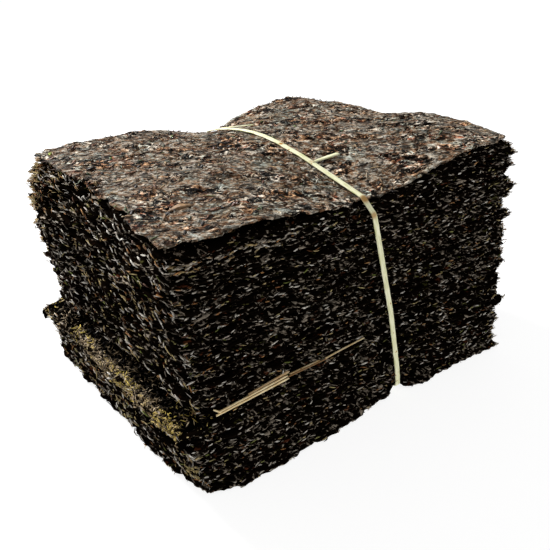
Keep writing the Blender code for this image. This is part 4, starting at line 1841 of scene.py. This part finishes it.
@dataclass
class LedgeFuzz:
    """Tan fibres on the ledge."""

    leaf: LedgeLeaf
    finish: Material
    count: int = 1300
    shaded: int = 1100
    seed: int = 83
    reach: float = 0.0092
    far_reach: float = 0.022
    bare: float = 0.0038
    back: float = 0.72
    gold: Pair = (0.72, 0.92)
    gold_ends: Pair = (0.16, 0.94)
    length: Pair = (0.0010, 0.0034)
    width: Pair = (0.00025, 0.0006)

    def spot(self, draw: random.Random, shaded: bool) -> Triple:
        """Where a fibre grows and how bright it is.

        Args:
            draw: The source of its place.
            shaded: Whether it grows where little light comes.

        Returns:
            Distance over the fold, share of the depth, and tone.
        """
        form = self.leaf.pile.form
        w, v = mix(0.0004, self.reach, draw.random()), mix(0.01, 0.76, draw.random())
        lush = smooth(grain(w, v * form.depth, 0.012, 8.0), -0.15, 0.05)
        tone = draw.random() * mix(0.78, 1.10, lush)
        if w < mix(self.bare, 0.0004, bell(v, 0.44, 0.30)):
            w += self.bare
        if shaded:
            v = draw.random()
            w = mix(self.reach if v < self.back else 0.0, self.far_reach, draw.random())
            tone = 0.74 * draw.random() ** (1.3 if v > self.back else 2.5)
        if tone > 0.42 and not self.gold_ends[0] <= v <= self.gold_ends[1]:
            tone = mix(*self.gold, draw.random())
        return w, v, clamp(tone)

    def fibre(self, draw: random.Random, w: float, v: float, tone: float) -> Blade:
        """One fibre that stands or lies on the fold.

        Args:
            draw: The source of its small differences.
            w: Distance over the fold.
            v: Share of the depth.
            tone: Its tone.

        Returns:
            The fibre.
        """
        s, t, z = self.leaf.place(w, v)
        steep = 1.0 - smooth(w, self.leaf.drop, self.leaf.drop + 0.005)
        turn = draw.uniform(0.0, 2.0 * math.pi)
        up = Vector((-steep, 0.0, 1.0 - 0.8 * steep)).normalized()
        flat = Vector((math.cos(turn), math.sin(turn), 0.0))
        along = (flat - up * flat.dot(up) + up * draw.uniform(-0.05, 0.45)).normalized()
        face = (up + Vector((draw.gauss(0.0, 0.4), draw.gauss(0.0, 0.4), 0.0))).normalized()
        point = self.leaf.pile.form.place(s, t, z) + up * self.leaf.thickness
        return Blade(point, along, face, draw.uniform(*self.length), draw.uniform(*self.width),
                     0.0004 * draw.gauss(0.0, 1.0), tone, draw.gauss(0.0, 0.8))

    def build(self) -> None:
        """Make the fibres."""
        draw = random.Random(self.seed)
        blades = [self.fibre(draw, *self.spot(draw, index >= self.count))
                  for index in range(self.count + self.shaded)]
        bm = Blades().lay(blades)
        finish_piece("ledge_fuzz", bm, self.finish, "lower_sheets")


@dataclass
class Ribbon:
    """A ribbed strip of straw that follows a path, with its grain laid along it."""

    width: float
    thickness: float
    step: float = 0.0011
    across: int = 8
    crown: float = 0.00018
    rib: float = 0.00006
    ribs: int = 3
    wander: float = 0.09
    wander_size: float = 0.02
    seed: float = 4.0

    def blank(self, total: float, closed: bool) -> Form:
        """A straight unit strip of thickness 1 with its grain map.

        Args:
            total: Length of the path that it will follow.
            closed: Whether its ends will meet, so that they are left open.

        Returns:
            The strip, from 0 to 1 along x.
        """
        part = grid_form(max(4, round(total / self.step)), self.across, (0.5, 0.0))
        thicken(part, 1.0)
        if closed:
            caps = [f for f in part.faces
                    if all(abs(v.co.x - f.verts[0].co.x) < 1e-6 for v in f.verts)]
            bmesh.ops.delete(part, geom=caps, context="FACES_ONLY")
        grain_map = part.loops.layers.uv.new("grain")
        for loop in (loop for face in part.faces for loop in face.loops):
            co = loop.vert.co
            loop[grain_map].uv = (co.x * total, (co.y + 0.5) * self.width)
        return part

    def ways(self, points: Sequence[Vector], closed: bool) -> list[Vector]:
        """Direction of the path at each of its points, from the points beside it.

        Args:
            points: The path.
            closed: Whether its end joins its start.

        Returns:
            The directions.
        """
        last = len(points) - 1
        if closed:
            return [points[(k + 1) % last] - points[(k - 1) % last] for k in range(last + 1)]
        return [points[min(k + 1, last)] - points[max(k - 1, 0)] for k in range(last + 1)]

    def build(self, bm: Form, path: Path, closed: bool, taper: Callable[[float], float]) -> None:
        """Add the strip to a form.

        Args:
            bm: The form, which has a "grain" map and a "stain" on its points.
            path: Points of the strip's middle with their outward directions.
            closed: Whether the end of the path joins its start.
            taper: Share of the width at a share of the path.
        """
        ring = list(path) + ([path[0]] if closed else [])
        points, outs = [point for point, _ in ring], [out for _, out in ring]
        ways = self.ways(points, closed)
        lengths = [0.0]
        for a, b in zip(points, points[1:]):
            lengths.append(lengths[-1] + (b - a).length)
        total = lengths[-1]
        part = self.blank(total, closed)
        for vert in part.verts:
            q, r, under = clamp(vert.co.x), vert.co.y, vert.co.z < -0.5
            k = max(i for i, length in enumerate(lengths[:-1]) if length <= q * total + 1e-12)
            share = (q * total - lengths[k]) / max(lengths[k + 1] - lengths[k], 1e-9)
            point = points[k].lerp(points[k + 1], share)
            out = outs[k].lerp(outs[k + 1], share).normalized()
            side = ways[k].lerp(ways[k + 1], share).normalized().cross(out).normalized()
            turn, far = 2.0 * math.pi * q, total / self.wander_size
            loop_at = Vector((math.cos(turn) * far, math.sin(turn) * far, self.seed))
            wide = self.width * taper(q) * (1.0 + self.wander * noise.noise(loop_at))
            high = 0.5 * self.thickness + self.crown * math.cos(math.pi * r)
            high += self.rib * math.cos(2.0 * math.pi * self.ribs * r)
            vert.co = point + side * wide * r + out * (-0.5 * self.thickness if under else high)
        if closed:
            bmesh.ops.remove_doubles(part, verts=part.verts[:], dist=1e-6)
        bmesh.ops.recalc_face_normals(part, faces=part.faces[:])
        mesh = mesh_of("strip", part)
        bm.from_mesh(mesh)
        bpy.data.meshes.remove(mesh)


@dataclass(frozen=True)
class Mark:
    """A brown mark on the straw, fading out over its reach."""

    s: float
    t: float
    z: float
    reach: float
    strength: float

    def at(self, form: Bundle, point: Vector) -> float:
        """Strength of the mark at a point."""
        away = (form.place(self.s, self.t, self.z) - point).length
        return self.strength * (1.0 - smooth(away, 0.3 * self.reach, self.reach))


@dataclass
class StrawBand:
    """The straw tied round the bundle, with its cut stub and its loose strand."""

    form: Bundle
    tie: Tie
    leaf: TopLeaf
    finish: Material
    stub_start: float = 0.0415
    stub_length: float = 0.0160
    stub_width: float = 0.0027
    stub_heading: float = 2.0
    strand_start: float = 0.1180
    strand_length: float = 0.0190
    strand_width: float = 0.0012
    strand_heading: float = -60.0
    end_thickness: float = 0.0004
    root_rise: float = 0.0012
    end_rise: float = 0.0010
    width: float = 0.0027
    points: int = 12
    marks: tuple[Mark, ...] = (
        Mark(0.0983, 0.0650, 0.1157, 0.0017, 1.0), Mark(0.0985, 0.0055, 0.1062, 0.0034, 0.8),
        Mark(0.0990, 0.0002, 0.0997, 0.0026, 0.7), Mark(0.0985, 0.0420, 0.1135, 0.0022, 0.5))

    def loose(self, start: float, heading: float, length: float) -> Path:
        """Path of a loose end that leaves the band on the top.

        Args:
            start: Depth at which it leaves the band.
            heading: Its direction in the plan, in degrees from the bundle's length.
            length: Its length.

        Returns:
            Points of its middle with their outward directions.
        """
        form = self.form
        turn = math.radians(heading)
        spots = [(form.tie_x + math.cos(turn) * length * k / self.points,
                  start + math.sin(turn) * length * k / self.points)
                 for k in range(self.points + 1)]
        under = [self.leaf.surface(s, t) for s, t in spots]
        first, last = under[0] + self.root_rise, under[-1] + self.end_rise
        line = [mix(first, last, k / self.points) for k in range(self.points + 1)]
        over = max(low + 0.0003 - high for low, high in zip(under[2:], line[2:]))
        return [(form.place(s, t, line[k] + max(0.0, over) * smooth(k, 0, 4)),
                 Vector((0.0, 0.0, 1.0))) for k, (s, t) in enumerate(spots)]

    def build(self) -> None:
        """Make the straw."""
        form, tie = self.form, self.tie
        bm = bmesh.new()
        bm.loops.layers.uv.new("grain")
        stain = bm.verts.layers.float.new("stain")
        loop = [(form.place(form.band_x(p.x, p.y), p.x, p.y), Vector((0.0, out.x, out.y)))
                for p, out in tie.path(tie.clearance + tie.thickness / 2.0)]
        Ribbon(self.width, tie.thickness, wander=0.14).build(bm, loop, True, lambda q: 1.0)
        Ribbon(self.stub_width, self.end_thickness, 0.0008, 4).build(
            bm, self.loose(self.stub_start, self.stub_heading, self.stub_length), False,
            lambda q: mix(0.55, 1.0, smooth(q, 0.0, 0.6)))
        Ribbon(self.strand_width, self.end_thickness, 0.0008, 4).build(
            bm, self.loose(self.strand_start, self.strand_heading, self.strand_length), False,
            lambda q: mix(1.0, 0.5, q))
        for vert in bm.verts:
            vert[stain] = max(mark.at(form, vert.co) for mark in self.marks)
        finish_piece("straw_tie", bm, self.finish, "straw_band")


@dataclass(frozen=True)
class Strip:
    """One split length of the stem: where it runs, how high it lies and how wide it is."""

    start: float
    end: float
    offset: Pair
    wide: Pair
    depth: float
    stain: float = 0.0

    def taper(self, q: float) -> float:
        """Share of the end's width at a share of the length, rounded off at the end."""
        return mix(*self.wide, q) / self.wide[1] * smooth(1.0 - q, -0.02, 0.05)


@dataclass
class StrawStem:
    """The split straw caught in the joint: two golden strips, a loose skin and a thin tail."""

    bed: StemBed
    finish: Material
    thickness: float = 0.0005
    points: int = 36
    strips: tuple[Strip, ...] = (
        Strip(0.0115, 0.0490, (-0.00070, -0.00075), (0.00080, 0.00090), 0.0011),
        Strip(0.0125, 0.0485, (0.00050, 0.00062), (0.00070, 0.00080), 0.0010),
        Strip(0.0280, 0.0500, (0.00125, 0.00165), (0.00050, 0.00140), 0.0005, 0.55),
        Strip(0.0108, 0.0140, (0.00230, -0.00040), (0.00060, 0.00080), 0.0013),
        Strip(0.0485, 0.0700, (-0.00050, -0.00030), (0.00045, 0.00040), 0.0008, 0.75),
        Strip(0.0500, 0.0660, (0.00042, 0.00042), (0.00045, 0.00040), 0.0006, 0.45),
        Strip(0.0690, 0.0930, (0.00005, 0.00000), (0.00060, 0.00060), 0.0008, 0.30))

    def rest(self, first: float, last: float) -> Pair:
        """Depth at both ends of a straight strip that lies on the foremost leaves behind it.

        Args:
            first, last: Shares of the stem's length where it starts and ends.

        Returns:
            The two depths.
        """
        bed = self.bed
        a, b = bed.face(first), bed.face(last)
        over = max(mix(a, b, k / self.points) - bed.face(mix(first, last, k / self.points))
                   for k in range(self.points + 1))
        return a - over, b - over

    def path(self, strip: Strip) -> Path:
        """Middle line of one strip with its outward direction.

        Args:
            strip: The strip.

        Returns:
            Points of its middle with their outward directions.
        """
        bed = self.bed
        first = (strip.start - bed.start[0]) / (bed.end[0] - bed.start[0])
        last = (strip.end - bed.start[0]) / (bed.end[0] - bed.start[0])
        line = []
        near, far = self.rest(first, last)
        for k in range(self.points + 1):
            q = mix(first, last, k / self.points)
            s, z = bed.line(q)
            rise = mix(*strip.offset, k / self.points)
            back = mix(near, far, k / self.points) - bed.gap - strip.depth
            line.append((bed.form.place(s, back, z + rise), Vector((0.0, -1.0, 0.0))))
        return line

    def build(self) -> None:
        """Make the stem."""
        bm = bmesh.new()
        bm.loops.layers.uv.new("grain")
        stain = bm.verts.layers.float.new("stain")
        for strip in self.strips:
            before = len(bm.verts)
            Ribbon(strip.wide[1], self.thickness, 0.0008, 4, seed=strip.start * 900.0).build(
                bm, self.path(strip), False, strip.taper)
            bm.verts.ensure_lookup_table()
            for vert in bm.verts[before:]:
                vert[stain] = strip.stain
        finish_piece("straw_split", bm, self.finish, "straw_stem")


@dataclass(frozen=True)
class Studio:
    """A white room, a pale floor and the camera, with a soft light above and behind the bundle."""

    position: Triple = (-0.1154, -0.2257, 0.2350)
    yaw: float = 35.52
    pitch: float = 27.78
    roll: float = -1.99
    lens: float = 51.22
    sensor: float = 36.0
    floor_size: float = 8.0
    floor_colour: Colour = (0.3, 0.3, 0.3)
    floor_glow: float = 0.85
    room: float = 0.5
    key_place: Triple = (-0.18, 0.82, 0.62)
    key_size: float = 0.22
    key_power: float = 16.0
    aim_height: float = 0.06

    def camera(self, form: Bundle) -> None:
        """Make the camera.

        Args:
            form: The bundle, whose frame the place is in.
        """
        data = bpy.data.cameras.new("camera")
        data.lens, data.sensor_width = self.lens, self.sensor
        data.clip_start, data.clip_end = 0.01, 50.0
        yaw, pitch, roll = (math.radians(a) for a in (self.yaw, self.pitch, self.roll))
        ahead = Vector((math.sin(yaw) * math.cos(pitch), math.cos(yaw) * math.cos(pitch),
                        -math.sin(pitch)))
        right = Vector((math.cos(yaw), -math.sin(yaw), 0.0))
        up = right.cross(ahead)
        level = right * math.cos(roll) + up * math.sin(roll)
        upright = up * math.cos(roll) - right * math.sin(roll)
        turn = Matrix((level, upright, -ahead)).transposed().to_4x4()
        item = stand("camera", data)
        item.matrix_world = Matrix.Translation(form.place(*self.position)) @ turn
        bpy.context.scene.camera = item

    def floor(self) -> None:
        """Make the floor, which glows faintly so that shadows stay light."""
        bm = bmesh.new()
        bmesh.ops.create_grid(bm, x_segments=1, y_segments=1, size=self.floor_size / 2.0)
        mesh = mesh_of("floor", bm)
        g = Graph("floor_white")
        g.colour(self.floor_colour)
        g.roughness(0.9)
        g.feed(g.shader.inputs["Emission Color"], (1.0, 1.0, 1.0))
        g.shader.inputs["Emission Strength"].default_value = self.floor_glow
        mesh.materials.append(g.material)
        stand("floor", mesh)

    def lamp(self) -> None:
        """Make the square soft light, which faces the bundle."""
        data = bpy.data.lights.new("key", "AREA")
        data.shape, data.size, data.energy = "SQUARE", self.key_size, self.key_power
        place = Vector(self.key_place)
        aim = (Vector((0.0, 0.0, self.aim_height)) - place).to_track_quat("-Z", "Y")
        stand("key", data).matrix_world = Matrix.Translation(place) @ aim.to_matrix().to_4x4()

    def build(self, form: Bundle) -> None:
        """Make the camera, floor, room and light.

        Args:
            form: The bundle.
        """
        scene = bpy.context.scene
        scene.view_settings.view_transform = "Standard"
        world = bpy.data.worlds.new("room")
        world.use_nodes = True
        background = next(n for n in world.node_tree.nodes if n.type == "BACKGROUND")
        background.inputs["Color"].default_value = (1.0, 1.0, 1.0, 1.0)
        background.inputs["Strength"].default_value = self.room
        scene.world = world
        self.camera(form)
        self.floor()
        self.lamp()


def solids_tree(names: Sequence[str]) -> BVHTree:
    """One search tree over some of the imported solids.

    Args:
        names: Names of the nodes.

    Returns:
        The tree.
    """
    verts, faces = [], []
    for name in names:
        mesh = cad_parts[name].data
        base = len(verts)
        verts.extend(v.co.copy() for v in mesh.vertices)
        faces.extend([base + i for i in p.vertices] for p in mesh.polygons)
    return BVHTree.FromPolygons(verts, faces)


def upper_frays() -> list[Fray]:
    """The upper bunch's tufts at its right and far left edges, and its odd stretches.

    Returns:
        The stretches.
    """
    frays = []
    for k, shift in enumerate((0.0, 0.03, -0.02, 0.01, 0.04, -0.01, 0.02, -0.03, 0.01, 0.0)):
        h = 0.06 + 0.098 * k + shift
        frays.append(Fray(Side.RIGHT, (0.0, 0.008), (h - 0.024, h + 0.024), 34, (0.80, 0.92),
                          (0.0020, 0.0048), width=(0.0003, 0.0007)))
        frays.append(Fray(Side.RIGHT, (0.0, 0.014), (h - 0.050, h + 0.050), 30, (0.0, 0.9)))
    for k in range(6):
        h = 0.48 + 0.098 * k
        frays.append(Fray(Side.LEFT, (0.128, 0.135), (h - 0.010, h + 0.012), 36, (0.81, 0.97)))
    frays += [
        Fray(Side.LEFT, (0.100, 0.135), (0.80, 1.0), 130, (0.78, 0.97), (0.0010, 0.0030), (0.1, 0.9)),
        Fray(Side.LEFT, (0.124, 0.135), (0.70, 1.0), 150, (0.83, 0.965), (0.0018, 0.0042), (0.7, 1.4),
             (0.0003, 0.0007)),
        Fray(Side.FRONT, (0.0, 0.062), (0.925, 0.965), 60, (0.40, 0.60), (0.0015, 0.0045),
             (0.0, 0.4), (0.0004, 0.0009)),
        Fray(Side.FRONT, (0.0, 0.062), (0.925, 0.965), 34, (0.83, 0.91), (0.0015, 0.0040),
             (0.0, 0.4), (0.0004, 0.0008)),
        Fray(Side.LEFT, (0.002, 0.050), (0.45, 0.95), 26, (0.45, 0.97), (0.0025, 0.0060),
             (0.0, 0.3), (0.0006, 0.0011)),
        Fray(Side.LEFT, (0.010, 0.090), (0.05, 0.85), 130, (0.87, 0.98), (0.0010, 0.0026),
             (0.0, 0.6), (0.0003, 0.0006)),
        Fray(Side.RIGHT, (0.0, 0.040), (0.93, 1.0), 90, (0.82, 0.95))]
    return frays


def lower_frays() -> list[Fray]:
    """The lower bunch's tufts at its right edge and its far left corner.

    Returns:
        The stretches.
    """
    frays = [Fray(Side.RIGHT, (0.0, 0.006), (0.12 + 0.27 * k, 0.16 + 0.27 * k), 34, (0.80, 0.95))
             for k in range(4)]
    frays.append(Fray(Side.LEFT, (0.110, 0.135), (0.6, 1.0), 90, (0.80, 0.97),
                      (0.0010, 0.0026), (0.1, 0.9)))
    frays.append(Fray(Side.LEFT, (0.0, 0.007), (0.22, 0.42), 110, (0.91, 0.965),
                      (0.0008, 0.0024), (0.1, 0.6), (0.0003, 0.0007)))
    frays.append(Fray(Side.LEFT, (0.0, 0.120), (0.1, 0.8), 150, (0.80, 0.97),
                      (0.0010, 0.0024), (0.0, 0.5)))
    return frays


def main() -> None:
    """Build every piece in order."""
    logging.basicConfig(level=logging.INFO, format="%(message)s")
    form = Bundle()
    Studio().build(form)
    tie = Tie(form)
    tie.measure(solids_tree(("upper_sheets", "lower_sheets", "top_sheet")))
    upper = Bunch("upper", "upper_sheets", form.upper_sides, form.upper_bottom, form.upper_top,
                  form.height - form.joint_left, 34)
    lower = Bunch("lower", "lower_sheets", form.lower_sides, form.lower_bottom, form.lower_top,
                  form.joint_left, 21)
    bed = StemBed(form)
    bed.measure(solids_tree(("upper_sheets", "lower_sheets")))
    dark = EdgeLaver("edge_dark").make()
    upper_pile = Pile(form, upper, tie, dark, Slot.UPPER, bed)
    lower_pile = Pile(form, lower, tie, dark, Slot.LOWER, bed)
    upper_pile.build()
    lower_pile.build()
    frayed = ToneLaver("frayed_laver", EDGE_AND_GLINT_TONES, shine=0.03).make()
    SideFronds(upper_pile, frayed, 6800, 11, upper_frays()).build()
    # The lower bunch draws higher tones on every side, most on the left: painted light.
    SideFronds(lower_pile, frayed, 3200, 12, lower_frays(), glint_bias=(0.84, 0.66)).build()
    leaf = TopLeaf(form, tie, TopLaver().make())
    leaf.build()
    TopFronds(leaf, ToneLaver("fleck_laver", FLECK_TONES, shine=0.15).make()).build()
    ledge = LedgeLeaf(lower_pile, LedgeLaver().make())
    ledge.build()
    LedgeFuzz(ledge, ToneLaver("fuzz_laver", FUZZ_TONES).make()).build()
    StrawBand(form, tie, leaf, PALE_STRAW.make()).build()
    StrawStem(bed, GOLD_STRAW.make()).build()


if __name__ == "__main__":
    main()
